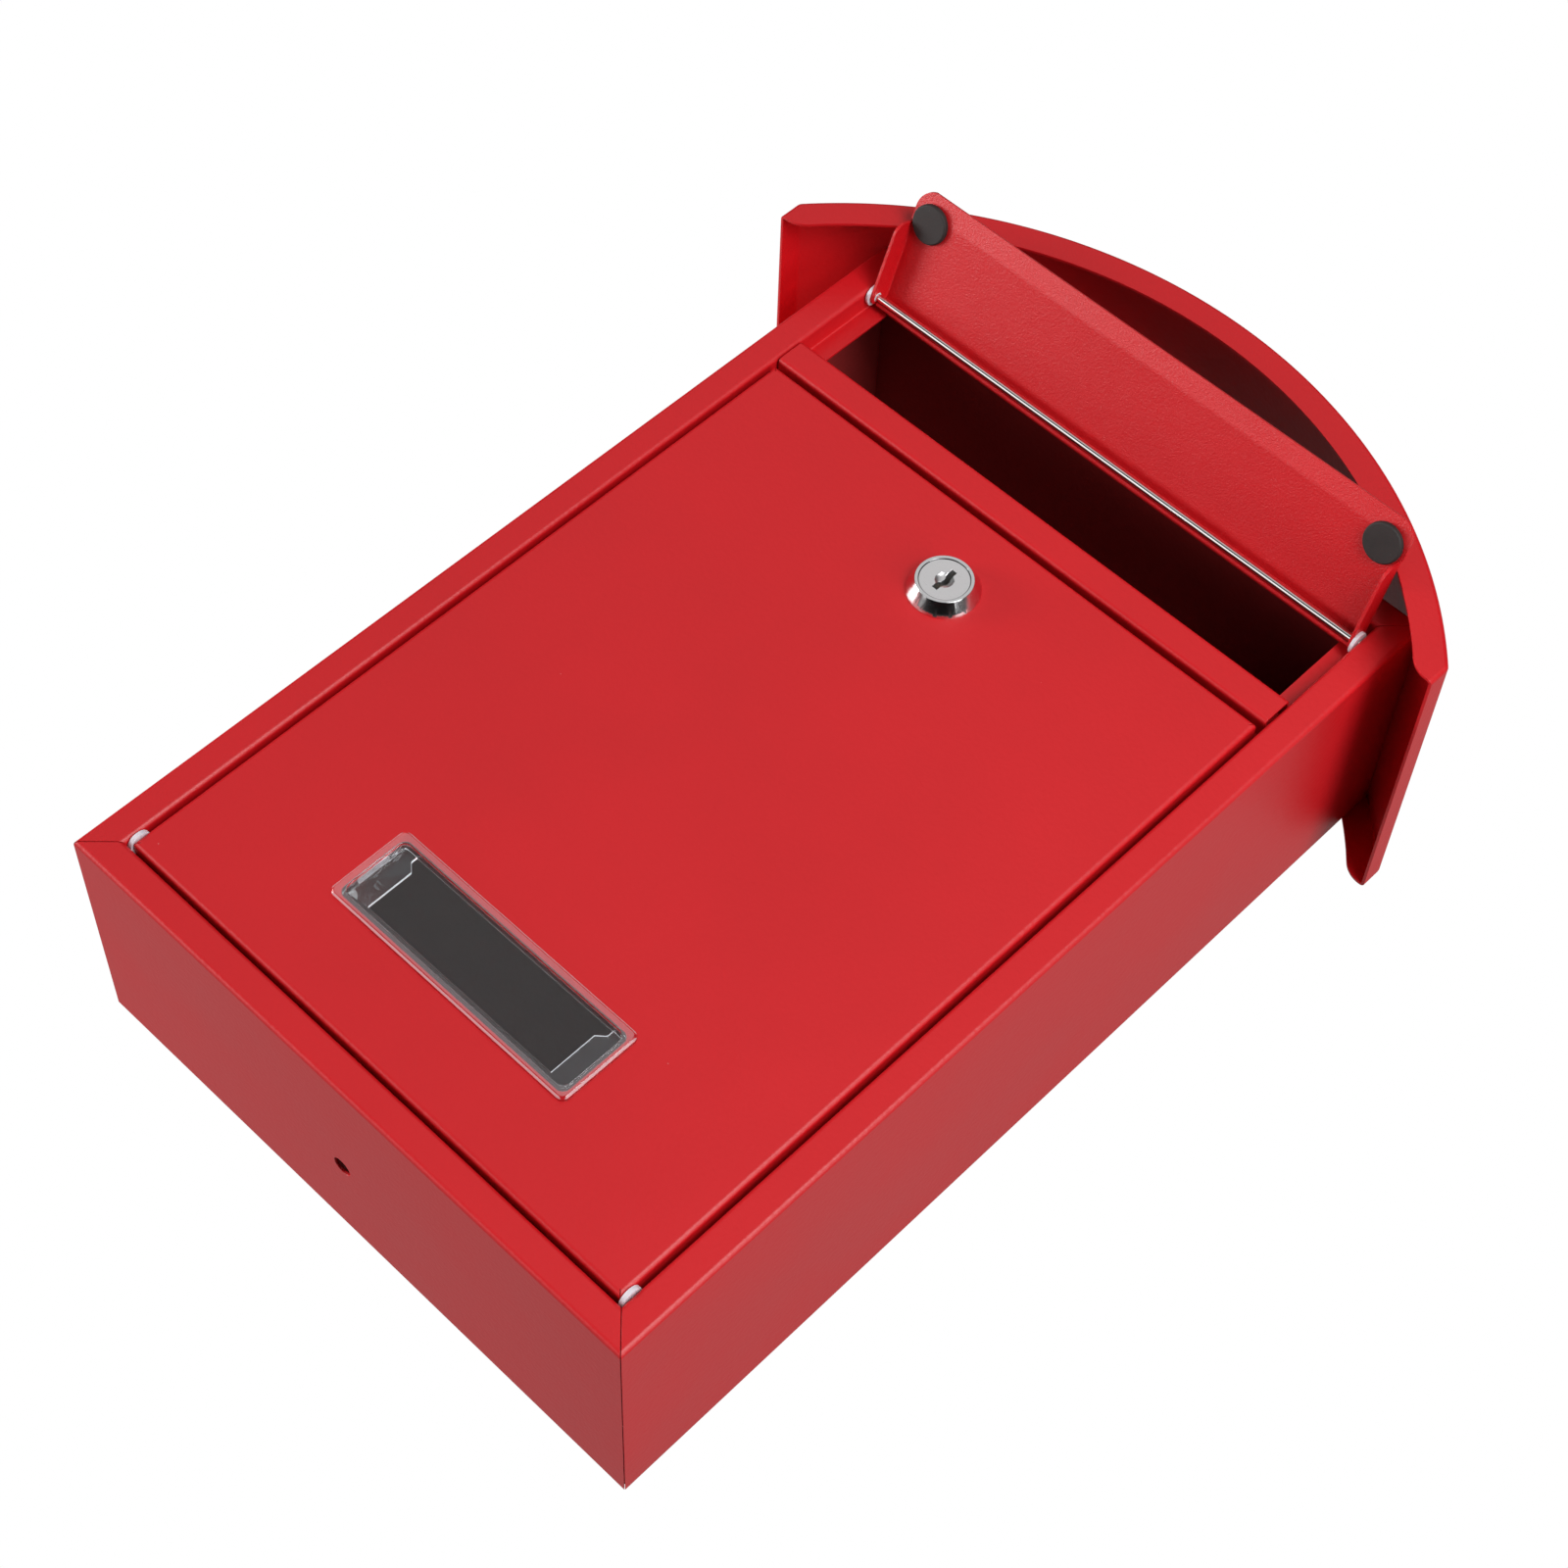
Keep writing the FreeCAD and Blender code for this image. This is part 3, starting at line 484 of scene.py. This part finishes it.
back_rim = moved(tree, rim.outputs["Mesh"], shift=point(tree, 0.0, 0.0, given["Back"]))
turned_back = place(tree, "GeometryNodeFlipFaces", {"Mesh": back_rim})
closed = merged(tree, joined(tree, sheet.outputs["Mesh"], turned_back.outputs["Mesh"]), tiny)
end_tree(tree, moved(tree, closed, turn=(math.pi / 2, 0, 0)), given["Coat"], leave)

roof_sheet = 0.001
roof_fold = 0.0016
roof_fold_angle = 60
roof = shaped_by("arched_roof", tree, roof_sizes)
ease(roof, roof_fold, roof_fold_angle, segments=4)
steel = roof.modifiers.new("Steel", "SOLIDIFY")
steel.thickness = roof_sheet
steel.offset = -1
steel.use_even_offset = True
ease(roof, cut_edge, roof_fold_angle)
fitted(settled(roof), red_powder, "case", "red_paint", "roof")


# The two hinge rods: lengths of drawn steel wire, bright from the die, pushed through the
# case's sides. The flap hangs on the upper one and the door swings on the lower one.

drawing, given, result = effect(
    "Drawn lines", {"Line Width": 0.00012, "Line Length": 0.03}, ["Mask"]
)
per_length = maths(drawing, "DIVIDE", 1.0, given["Line Length"])
per_width = maths(drawing, "DIVIDE", 1.0, given["Line Width"])
pull = point(drawing, per_length, per_width, per_width)
along = place(
    drawing, "ShaderNodeVectorMath", {0: given["Position"], 1: pull}, operation="MULTIPLY"
)
drawn = noise(drawing, along.outputs[0], 1.0, detail=3.0, Roughness=0.6)
drawing.links.new(drawn, result["Mask"])


def varied(tree, shader, mask, colours, roughnesses):
    """Varies the shader's colour and roughness by a mask. Returns the colour."""
    tone = blended(tree, mask, *colours)
    tree.links.new(tone, shader.inputs["Base Color"])
    tree.links.new(between(tree, mask, *roughnesses), shader.inputs["Roughness"])
    return tone


steel_tones = [(0.74, 0.73, 0.72, 1), (0.95, 0.94, 0.93, 1)]
drawn_steel, tree, shader = new_finish("Drawn steel", Metallic=1.0, Roughness=0.22)
lines = use_effect(tree, drawing, {"Line Width": 0.00015, "Line Length": 0.02})["Mask"]
varied(tree, shader, lines, steel_tones, roughnesses=(0.08, 0.24))
relief(tree, shader, lines, strength=0.25, distance=0.00003)

for name, node in (("flap_hinge_rod", "flap_rod"), ("door_hinge_rod", "door_rod")):
    rod = finished_copy(name, node, 0)
    fitted(rod, drawn_steel, "case", "bright_steel", node)


# The hinge bushes: moulded white nylon with a flange, pressed into the ends of the flap
# and of the door, and free to turn on the rods.

nylon_tones = [(0.66, 0.60, 0.66, 1), (0.78, 0.73, 0.78, 1)]
nylon, tree, shader = new_finish(
    "White nylon",
    Roughness=0.4,
    Subsurface_Weight=0.35,
    Subsurface_Radius=(1.0, 0.9, 0.9),
    Subsurface_Scale=0.001,
)
shade = use_effect(tree, clouds, {"Cloud Size": 0.003, "Contrast": 1.5})["Mask"]
varied(tree, shader, shade, nylon_tones, roughnesses=(0.34, 0.46))
moulded = use_effect(
    tree, pebbling, {"Pebble Size": 0.0006, "Grain Size": 0.0001, "Grain": 0.3}
)["Height"]
relief(tree, shader, moulded, strength=0.2, distance=0.00003)


def turned(tree, corners, segments):
    """A solid of revolution about X, from corner vectors (along the axis, radius)."""
    columns = len(corners) + 1
    size = {"Size X": 1.0, "Size Y": 1.0, "Vertices X": segments + 1, "Vertices Y": columns}
    grid = place(tree, "GeometryNodeMeshGrid", size)
    index = place(tree, "GeometryNodeInputIndex").outputs["Index"]
    half_past = maths(tree, "ADD", index, 0.5)
    row = maths(tree, "FLOOR", maths(tree, "DIVIDE", half_past, columns))
    column = maths(tree, "SUBTRACT", index, maths(tree, "MULTIPLY", row, columns))
    choose = place(tree, "GeometryNodeIndexSwitch", data_type="VECTOR")
    while len(choose.index_switch_items) < columns:
        choose.index_switch_items.new()
    tree.links.new(maths(tree, "ROUND", column), choose.inputs["Index"])
    for number, corner in enumerate(corners + corners[:1]):
        tree.links.new(corner, choose.inputs[number + 1])
    chosen = place(tree, "ShaderNodeSeparateXYZ", {0: choose.outputs[0]}).outputs
    angle = maths(tree, "MULTIPLY", row, 2 * math.pi / segments)
    ring = point(
        tree,
        chosen["X"],
        maths(tree, "MULTIPLY", chosen["Y"], maths(tree, "COSINE", angle)),
        maths(tree, "MULTIPLY", chosen["Y"], maths(tree, "SINE", angle)),
    )
    values = {"Geometry": grid.outputs["Mesh"], "Position": ring}
    wound = place(tree, "GeometryNodeSetPosition", values)
    return merged(tree, wound.outputs["Geometry"], reach=1e-6)


def in_pair(tree, shape, spacing, turn):
    """Two instances on the X axis, spaced about the origin, each turned by its own vector."""
    points = place(
        tree,
        "GeometryNodeMeshLine",
        {
            "Count": 2,
            "Start Location": point(tree, maths(tree, "MULTIPLY", spacing, -0.5), 0.0),
            "Offset": point(tree, spacing, 0.0),
        },
    )
    return place(
        tree,
        "GeometryNodeInstanceOnPoints",
        {"Points": points.outputs["Mesh"], "Instance": shape, "Rotation": turn},
    ).outputs["Instances"]


def facing_out(piece):
    """Turns every face of a closed piece outwards, after its doubles are merged."""
    double_reach = 1e-7
    mesh = bmesh.new()
    mesh.from_mesh(piece.data)
    bmesh.ops.remove_doubles(mesh, verts=mesh.verts, dist=double_reach)
    bmesh.ops.recalc_face_normals(mesh, faces=mesh.faces)
    mesh.to_mesh(piece.data)
    mesh.free()
    return piece


moulded_edge = 0.00015
bush_inputs = {
    "Bore Radius": 0.00115,
    "Barrel Radius": 0.0016,
    "Flange Radius": 0.00365,
    "Tail": 0.0,
    "Seat": 0.0,
    "End": 0.0,
    "Axis Y": 0.0,
    "Axis Z": 0.0,
    "Plastic": nylon,
}
tree, given, leave = new_tree("Flanged bushes", bush_inputs)
bush_corners = [
    point(tree, given["Tail"], given["Bore Radius"]),
    point(tree, given["End"], given["Bore Radius"]),
    point(tree, given["End"], given["Flange Radius"]),
    point(tree, given["Seat"], given["Flange Radius"]),
    point(tree, given["Seat"], given["Barrel Radius"]),
    point(tree, given["Tail"], given["Barrel Radius"]),
]
bush = turned(tree, bush_corners, segments=48)
index = place(tree, "GeometryNodeInputIndex").outputs["Index"]
half_turn = maths(tree, "MULTIPLY", maths(tree, "SUBTRACT", 1.0, index), math.pi)
pair = in_pair(tree, bush, 0.0, point(tree, 0.0, 0.0, half_turn))
on_axis = moved(tree, pair, shift=point(tree, 0.0, given["Axis Y"], given["Axis Z"]))
end_tree(tree, on_axis, given["Plastic"], leave)


def hinge_bushes(name, body, panel, left_node, right_node):
    """A panel's two bushes as one piece, seated on the panel's ends."""
    low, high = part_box(right_node)
    sizes = {
        **bush_inputs,
        "Flange Radius": (high.z - low.z) / 2,
        "Tail": low.x,
        "Seat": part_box(panel)[1].x,
        "End": high.x,
        "Axis Y": (low.y + high.y) / 2,
        "Axis Z": (low.z + high.z) / 2,
    }
    bushes = facing_out(plain_mesh(shaped_by(name, tree, sizes)))
    ease(bushes, moulded_edge)
    fitted(settled(bushes), nylon, body, "white_nylon", left_node, right_node)


hinge_bushes("flap_bushes", "flap", "flap_panel", "flap_bush_left", "flap_bush_right")
hinge_bushes("door_bushes", "door", "door_panel", "door_bush_left", "door_bush_right")


# The posting flap: a folded sheet with a soft bend, a flared lip, and cheeks at its ends
# that carry the bushes. It rests open against the roof's front rim. It is coated on a rack
# of its own, and the powder lies a little coarser and glossier on it than on the case.

coarse_powder = powder_coat(
    "Coarse red powder coat", glossiest=0.36, dullest=0.42, pebble=0.0008, grain=1.5, bumps=0.00013
)
flap = finished_copy("posting_flap", "flap_panel", cut_edge / 2)
fitted(flap, coarse_powder, "flap", "red_paint", "flap_panel")


# Two round pads of black rubber, cut from sheet and glued inside the flap, where it lands
# on the crossbar. They are flat, with a slightly broken edge, and pick up dust.

rubber_tones = [(0.012, 0.010, 0.0095, 1), (0.023, 0.018, 0.017, 1)]
lint_grey = (0.09, 0.08, 0.075, 1)
rubber, tree, shader = new_finish("Black rubber", Roughness=0.6)
bloom = use_effect(tree, clouds, {"Cloud Size": 0.004, "Contrast": 2.0})["Mask"]
lint = use_effect(tree, dust, {"Spacing": 0.0012, "Speck Size": 0.07, "Share": 0.15})["Mask"]
tone = varied(tree, shader, bloom, rubber_tones, roughnesses=(0.6, 0.75))
tree.links.new(blended(tree, lint, tone, lint_grey), shader.inputs["Base Color"])
skin = use_effect(
    tree, pebbling, {"Pebble Size": 0.0007, "Grain Size": 0.00015, "Grain": 0.6}
)["Height"]
relief(tree, shader, skin, strength=0.5, distance=0.00006)

pad_left_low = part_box("flap_pad_left")[0]
pad_right_low, pad_right_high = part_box("flap_pad_right")
pad_width = pad_right_high.x - pad_right_low.x
pad_thickness = 0.0018
flap_joint = [joint for joint in frame["joints"] if joint["name"] == "flap_swing"][0]
flap_travel = math.radians(flap_joint["range_deg"][1])
pad_inputs = {
    "Radius": pad_width / 2,
    "Thickness": pad_thickness,
    "Edge": 0.0004,
    "Spacing": pad_right_low.x - pad_left_low.x,
    "Tilt": -flap_travel,
    "Centre Y": (pad_right_low.y + pad_right_high.y) / 2,
    "Centre Z": (pad_right_low.z + pad_right_high.z) / 2,
    "Rubber": rubber,
}
tree, given, leave = new_tree("Round pads", pad_inputs)
half_thick = maths(tree, "MULTIPLY", given["Thickness"], 0.5)
under = maths(tree, "MULTIPLY", half_thick, -1.0)
land = maths(tree, "SUBTRACT", half_thick, given["Edge"])
pad_corners = [
    point(tree, under, 0.0),
    point(tree, under, given["Radius"]),
    point(tree, land, given["Radius"]),
    point(tree, half_thick, maths(tree, "SUBTRACT", given["Radius"], given["Edge"])),
    point(tree, half_thick, 0.0),
]
pad = turned(tree, pad_corners, segments=64)
quarter_turn = point(tree, 0.0, 0.0, math.pi / 2)
pair = in_pair(tree, pad, given["Spacing"], quarter_turn)
tilt = point(tree, given["Tilt"], 0.0)
in_place = moved(tree, pair, tilt, point(tree, 0.0, given["Centre Y"], given["Centre Z"]))
end_tree(tree, in_place, given["Rubber"], leave)
pads = facing_out(plain_mesh(shaped_by("flap_pads", tree, pad_inputs)))
ease(pads, moulded_edge)
fitted(settled(pads), rubber, "flap", "dark_rubber", "flap_pad_left", "flap_pad_right")


# The door: a shallow tray of the same steel, hinged along its lower edge, with holes for
# the lock and for the name window, and painted like the case.

door = finished_copy("door_tray", "door_panel", cut_edge)
fitted(door, red_powder, "door", "red_paint", "door_panel")


# The name window: one clear acrylic moulding snapped into the door, with a raised rim
# round a sunken pane, and a springy tongue at each end that grips the name card.

swirls_per_streak = 0.17
line_level = 0.53
line_reach = 0.022
flowing, given, result = effect("Flow streaks", {"Streak Width": 0.0006}, ["Mask"])
finer = maths(flowing, "DIVIDE", swirls_per_streak, given["Streak Width"])
swirl = noise(flowing, given["Position"], finer, detail=1.0, Distortion=1.2)
off_line = maths(flowing, "ABSOLUTE", maths(flowing, "SUBTRACT", swirl, line_level))
thin = place(
    flowing,
    "ShaderNodeMapRange",
    {"Value": off_line, "From Min": line_reach, "From Max": 0.0},
    interpolation_type="SMOOTHSTEP",
)
flowing.links.new(thin.outputs["Result"], result["Mask"])


def shaders_mixed(tree, mask, first, second):
    """A surface that goes from the first to the second as a mask goes from 0 to 1."""
    return place(tree, "ShaderNodeMixShader", {0: mask, 1: first, 2: second}).outputs["Shader"]


acrylic_tones = [(0.88, 0.90, 0.94, 1), (0.96, 0.97, 0.99, 1)]
# Colours of the painted light on the window's cut edges and tongue streaks.
no_painted_light = (0, 0, 0, 1)
painted_edge_light = (0.72, 0.71, 0.73, 1)
scuffed_white = (0.80, 0.74, 0.78, 1)
clear_grey = (0.95, 0.95, 0.95, 1)
streak_painted_light_share = 0.45
pressed_share = 0.8
acrylic, tree, shader = new_finish(
    "Clear acrylic", Transmission_Weight=1.0, IOR=1.49, Roughness=0.03, Emission_Strength=1.0
)
flow = use_effect(tree, clouds, {"Cloud Size": 0.006, "Contrast": 1.5})["Mask"]
varied(tree, shader, flow, acrylic_tones, roughnesses=(0.015, 0.06))
relief(tree, shader, flow, strength=0.15, distance=0.0002)
# The cut edges and the flow streaks in the tongues glow: painted light for the light that the
# clear acrylic carries along to its edges.
in_tongue = face_mark(tree, "Tongue")
streaks = use_effect(tree, flowing, {"Streak Width": 0.0007})["Mask"]
streaks_with_painted_light = maths(tree, "MULTIPLY", maths(tree, "MULTIPLY", streaks, in_tongue), streak_painted_light_share)
painted_glow_mask = maths(tree, "ADD", face_mark(tree, "Painted edge light"), streaks_with_painted_light)
tree.links.new(blended(tree, painted_glow_mask, no_painted_light, painted_edge_light), shader.inputs["Emission Color"])
milky = place(tree, "ShaderNodeBsdfDiffuse", {"Color": scuffed_white}).outputs["BSDF"]
solid = shaders_mixed(tree, face_mark(tree, "Haze"), shader.outputs["BSDF"], milky)

# Light passes the moulding freely, and a tongue pressed against the pane hardly shows.
through = place(tree, "ShaderNodeBsdfTransparent", {"Color": clear_grey}).outputs["BSDF"]
path = place(tree, "ShaderNodeLightPath").outputs
lets_light_by = maths(tree, "MAXIMUM", path["Is Shadow Ray"], path["Is Diffuse Ray"])
pressed_on = maths(tree, "MULTIPLY", maths(tree, "SUBTRACT", in_tongue, streaks_with_painted_light), pressed_share)
unseen = maths(tree, "MAXIMUM", lets_light_by, pressed_on)
surface = [node for node in tree.nodes if node.bl_idname == "ShaderNodeOutputMaterial"][0]
tree.links.new(shaders_mixed(tree, unseen, solid, through), surface.inputs["Surface"])

window_low, window_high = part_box("name_window")
window_half_width = 0.0462
window_half_height = (window_high.z - window_low.z) / 2
window_middle_z = (window_high.z + window_low.z) / 2
window_rim = 0.003
window_chamfer = 0.0007
window_corner_slack = 0.001
window_back = 0.0028
tongue_start = 0.034
window_end_wall = 0.0425
flat_haze = 0.14
chamfer_haze = 0.36
# How strong the painted light is on the tongues, the end walls and the ledges.
tongue_painted_light = 1.0
end_wall_painted_light = 0.4
ledge_painted_light = 0.03


def corners_of(face):
    """The places of a face's corners."""
    return [window.data.vertices[index].co for index in face.vertices]


def outside_of(corners, margin):
    """Whether all corners lie outside the window's outline, brought in by a margin."""
    return all(
        abs(corner.x) > window_half_width - margin
        or abs(corner.z - window_middle_z) > window_half_height - margin
        for corner in corners
    )


def haze_of(face):
    """How milky a face is: the rim's chamfer most, its flat front less."""
    corners = corners_of(face)
    if all(corner.y < window_low.y + tiny for corner in corners):
        return flat_haze if outside_of(corners, window_rim + window_corner_slack) else 0.0
    at_front = all(corner.y < window_low.y + window_chamfer + tiny for corner in corners)
    return chamfer_haze if at_front and outside_of(corners, window_chamfer + tiny) else 0.0


def behind_pane(face):
    """Whether a face lies wholly behind the pane."""
    return all(corner.y > window_low.y + window_back for corner in corners_of(face))


def lies_flat(face):
    """Whether a face looks straight to the front or the back."""
    return abs(face.normal.y) > 0.9


def painted_edge_light_of(face):
    """Painted light on the cut edges behind the pane, for the light that the acrylic carries to
    them: brightest on the tongues.
    """
    if not behind_pane(face) or lies_flat(face):
        return 0.0
    if abs(face.center.x) > window_end_wall:
        return end_wall_painted_light
    return tongue_painted_light if abs(face.center.x) > tongue_start else ledge_painted_light


def tongue_of(face):
    """1 for the flats of the two tongues."""
    flat = behind_pane(face) and lies_flat(face)
    return 1.0 if flat and abs(face.center.x) > tongue_start else 0.0


window = finished_copy("name_window_moulding", "name_window", moulded_edge, fold_angle=30)
mark_faces(window, "Haze", haze_of)
mark_faces(window, "Painted edge light", painted_edge_light_of)
mark_faces(window, "Tongue", tongue_of)
fitted(window, acrylic, "door", "clear_plastic", "name_window")


# The lock's housing: a die-cast zinc barrel with a coned bezel, polished and chromed. It is
# held to the door by a steel washer and a hexagonal nut, both plated with zinc.

handling, given, result = effect("Fine scratches", {"Scratch Size": 0.002}, ["Mask"])
scratches = maths(handling, "DIVIDE", 1.0, given["Scratch Size"])
bent = noise(handling, given["Position"], scratches, detail=4.0, Distortion=2.5)
handling.links.new(bent, result["Mask"])

chrome_tones = [(0.76, 0.77, 0.79, 1), (0.86, 0.87, 0.88, 1)]
chrome, tree, shader = new_finish("Polished chrome", Metallic=1.0, Roughness=0.1)
rubbed = use_effect(tree, handling, {"Scratch Size": 0.0015})["Mask"]
varied(tree, shader, rubbed, chrome_tones, roughnesses=(0.05, 0.17))
relief(tree, shader, rubbed, strength=0.08, distance=0.00003)

zinc_tones = [(0.50, 0.51, 0.53, 1), (0.64, 0.65, 0.67, 1)]
zinc, tree, shader = new_finish("Zinc plating", Metallic=1.0, Roughness=0.35)
spangle = use_effect(tree, clouds, {"Cloud Size": 0.002, "Contrast": 1.8})["Mask"]
varied(tree, shader, spangle, zinc_tones, roughnesses=(0.28, 0.44))
relief(tree, shader, spangle, strength=0.2, distance=0.00003)

lock_edge = 0.00008
lock_fold_angle = 30
housing = finished_copy("lock_barrel", "lock_housing", lock_edge, lock_fold_angle)
fitted(housing, chrome, "door", "lock_chrome", "lock_housing")
for name, node in (("lock_shakeproof_washer", "lock_washer"), ("lock_hex_nut", "lock_nut")):
    part = finished_copy(name, node, lock_edge, lock_fold_angle)
    fitted(part, zinc, "door", "zinc_steel", node)


# The lock's plug: chromed like the housing, with a dished face round a zigzag keyway. Four
# sprung brass wafers stand across the keyway inside it.

# A dark ring painted round the edge of the plug's face: painted shade for the narrow gap between
# the plug and the housing.
gap_shade_ring, given, result = effect(
    "Painted gap shade ring",
    {"Centre X": 0.0, "Centre Z": 0.0, "Radius": 0.008, "Width": 0.0002},
    ["Mask"],
)
spot = place(gap_shade_ring, "ShaderNodeSeparateXYZ", {0: given["Position"]}).outputs
aside = maths(gap_shade_ring, "SUBTRACT", spot["X"], given["Centre X"])
above = maths(gap_shade_ring, "SUBTRACT", spot["Z"], given["Centre Z"])
squares = maths(gap_shade_ring, "MULTIPLY_ADD", aside, aside, maths(gap_shade_ring, "MULTIPLY", above, above))
from_ring = maths(gap_shade_ring, "SUBTRACT", maths(gap_shade_ring, "SQRT", squares), given["Radius"])
off_ring = maths(gap_shade_ring, "ABSOLUTE", from_ring)
fading = place(
    gap_shade_ring,
    "ShaderNodeMapRange",
    {"Value": maths(gap_shade_ring, "DIVIDE", off_ring, given["Width"]), "To Min": 1.0, "To Max": 0.0},
    interpolation_type="SMOOTHSTEP",
)
gap_shade_ring.links.new(fading.outputs["Result"], result["Mask"])

plug_low, plug_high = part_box("lock_plug")
face_edge = {
    "Centre X": (plug_low.x + plug_high.x) / 2,
    "Centre Z": (plug_low.z + plug_high.z) / 2,
    "Radius": (plug_high.z - plug_low.z) / 2,
    "Width": 0.0004,
}
satin_tones = [(0.86, 0.86, 0.88, 1), (0.96, 0.96, 0.97, 1)]
gap_shade_black = (0.03, 0.03, 0.03, 1)
satin, tree, shader = new_finish("Satin chrome", Metallic=1.0, Roughness=0.28)
brushed = use_effect(tree, drawing, {"Line Width": 0.0001, "Line Length": 0.004})["Mask"]
tone = varied(tree, shader, brushed, satin_tones, roughnesses=(0.22, 0.38))
# The plug's colour goes to black along the ring: painted shade of the gap.
gap_shade = use_effect(tree, gap_shade_ring, face_edge)["Mask"]
tree.links.new(blended(tree, gap_shade, tone, gap_shade_black), shader.inputs["Base Color"])
relief(tree, shader, brushed, strength=0.2, distance=0.00002)
plug = finished_copy("lock_plug_body", "lock_plug", lock_edge, lock_fold_angle)
fitted(plug, satin, "lock", "lock_chrome", "lock_plug")

brass_tones = [(0.55, 0.36, 0.13, 1), (0.75, 0.54, 0.24, 1)]
brass, tree, shader = new_finish("Stamped brass", Metallic=1.0, Roughness=0.3)
tarnish = use_effect(tree, clouds, {"Cloud Size": 0.0015, "Contrast": 1.8})["Mask"]
varied(tree, shader, tarnish, brass_tones, roughnesses=(0.24, 0.42))
wafers = finished_copy("lock_wafer_set", "lock_wafers", lock_edge / 2, lock_fold_angle)
fitted(wafers, brass, "lock", "brass", "lock_wafers")


# The cam behind the door: a cranked strip of plated steel on the plug's square end, held
# by a spring washer and a cross-headed screw. It hooks behind the crossbar.

cam_edge = 0.0001
for name, node in (
    ("lock_cam_arm", "lock_cam"),
    ("cam_spring_washer", "cam_washer"),
    ("cam_fixing_screw", "cam_screw"),
):
    part = finished_copy(name, node, cam_edge, lock_fold_angle)
    fitted(part, zinc, "lock", "zinc_steel", node)


# The set: a plain white floor under the box's back, since the box lies on it, a white room
# that lights the box from three sides, three softboxes, and the camera in the photograph's
# place. The room and the floor are seen as plain white.

floor_reach = 3.0
floor_gap = 0.0004
floor_y = cad_high.y + floor_gap
floor_corners = [(-1, -1), (1, -1), (1, 1), (-1, 1)]
floor_mesh = bpy.data.meshes.new("pale_floor")
floor_mesh.from_pydata(
    [(x * floor_reach, floor_y, z * floor_reach) for x, z in floor_corners], [], [(0, 1, 2, 3)]
)
floor = bpy.data.objects.new("pale_floor", floor_mesh)
bpy.context.scene.collection.objects.link(floor)
pale = bpy.data.materials.new("Pale floor")
pale.use_nodes = True
tree = pale.node_tree
tree.nodes.clear()
white = place(tree, "ShaderNodeEmission", {"Color": (1, 1, 1, 1), "Strength": 1.0})
clear = place(tree, "ShaderNodeBsdfTransparent")
behind = place(tree, "ShaderNodeNewGeometry").outputs["Backfacing"]
one_sided = shaders_mixed(tree, behind, white.outputs["Emission"], clear.outputs["BSDF"])
place(tree, "ShaderNodeOutputMaterial", {"Surface": one_sided})
floor_mesh.materials.append(pale)
floor.visible_diffuse = False
floor.visible_glossy = False
floor.visible_transmission = False
floor.visible_shadow = False

room = bpy.data.worlds.new("Pale room")
bpy.context.scene.world = room
room.use_nodes = True
tree = room.node_tree
tree.nodes.clear()
seen = place(tree, "ShaderNodeBackground", {"Color": (1, 1, 1, 1), "Strength": 1.0})
outward = place(tree, "ShaderNodeTexCoord").outputs["Generated"]


def brighter_towards(direction, strongest, start, end):
    """The room's brightness, which rises from 0 to its strongest towards a direction."""
    heading = tuple(Vector(direction).normalized())
    facing = place(
        tree, "ShaderNodeVectorMath", {0: outward, 1: heading}, operation="DOT_PRODUCT"
    )
    values = {
        "Value": facing.outputs["Value"],
        "From Min": start,
        "From Max": end,
        "To Min": 0.0,
        "To Max": strongest,
    }
    ramp = place(tree, "ShaderNodeMapRange", values, interpolation_type="SMOOTHSTEP")
    return ramp.outputs["Result"]


ceiling = brighter_towards((-0.38, -0.82, 0.42), strongest=0.6, start=0.78, end=0.98)
table = brighter_towards((0, 1, 0), strongest=0.40, start=-0.2, end=0.5)
low_card = brighter_towards((-0.38, -0.43, -0.82), strongest=1.2, start=0.9, end=0.97)
strength = maths(tree, "ADD", maths(tree, "ADD", ceiling, table), low_card)
soft = place(tree, "ShaderNodeBackground", {"Color": (1.0, 0.98, 0.97, 1), "Strength": strength})
ray = place(tree, "ShaderNodeLightPath").outputs["Is Camera Ray"]
lit_room = shaders_mixed(tree, ray, soft.outputs["Background"], seen.outputs["Background"])
place(tree, "ShaderNodeOutputWorld", {"Surface": lit_room})

middle = (cad_low + cad_high) / 2
softbox_side = 0.7


def soft_light(name, spot, power):
    """A square softbox that faces the middle of the box."""
    lamp = bpy.data.lights.new(name, "AREA")
    lamp.shape = "SQUARE"
    lamp.size = softbox_side
    lamp.energy = power
    holder = bpy.data.objects.new(name, lamp)
    bpy.context.scene.collection.objects.link(holder)
    heading = middle - Vector(spot)
    facing = heading.to_track_quat("-Z", "Y").to_matrix().to_4x4()
    holder.matrix_world = Matrix.Translation(spot) @ facing


soft_light("Front softbox", (0.8, -1.3, 0.1), power=17.0)
soft_light("Right softbox", (1.3, -0.6, 0.1), power=6.7)
soft_light("Left softbox", (-1.3, -0.3, -0.8), power=21.0)

camera_spot = Vector((0.34206, -0.79032, -0.37858))
camera_aim = Vector((-0.38057, 0.82059, 0.42638))
picture_up = Vector((-0.58499, -0.57072, 0.57624))
picture_right = camera_aim.cross(picture_up).normalized()
picture_up = picture_right.cross(camera_aim).normalized()
lens = bpy.data.cameras.new("Camera")
lens.sensor_width = 36
lens.lens = 70.64
camera = bpy.data.objects.new("Camera", lens)
bpy.context.scene.collection.objects.link(camera)
turn = Matrix((picture_right, picture_up, -camera_aim.normalized())).transposed()
camera.matrix_world = Matrix.Translation(camera_spot) @ turn.to_4x4()
bpy.context.scene.camera = camera
bpy.context.scene.view_settings.view_transform = "Standard"
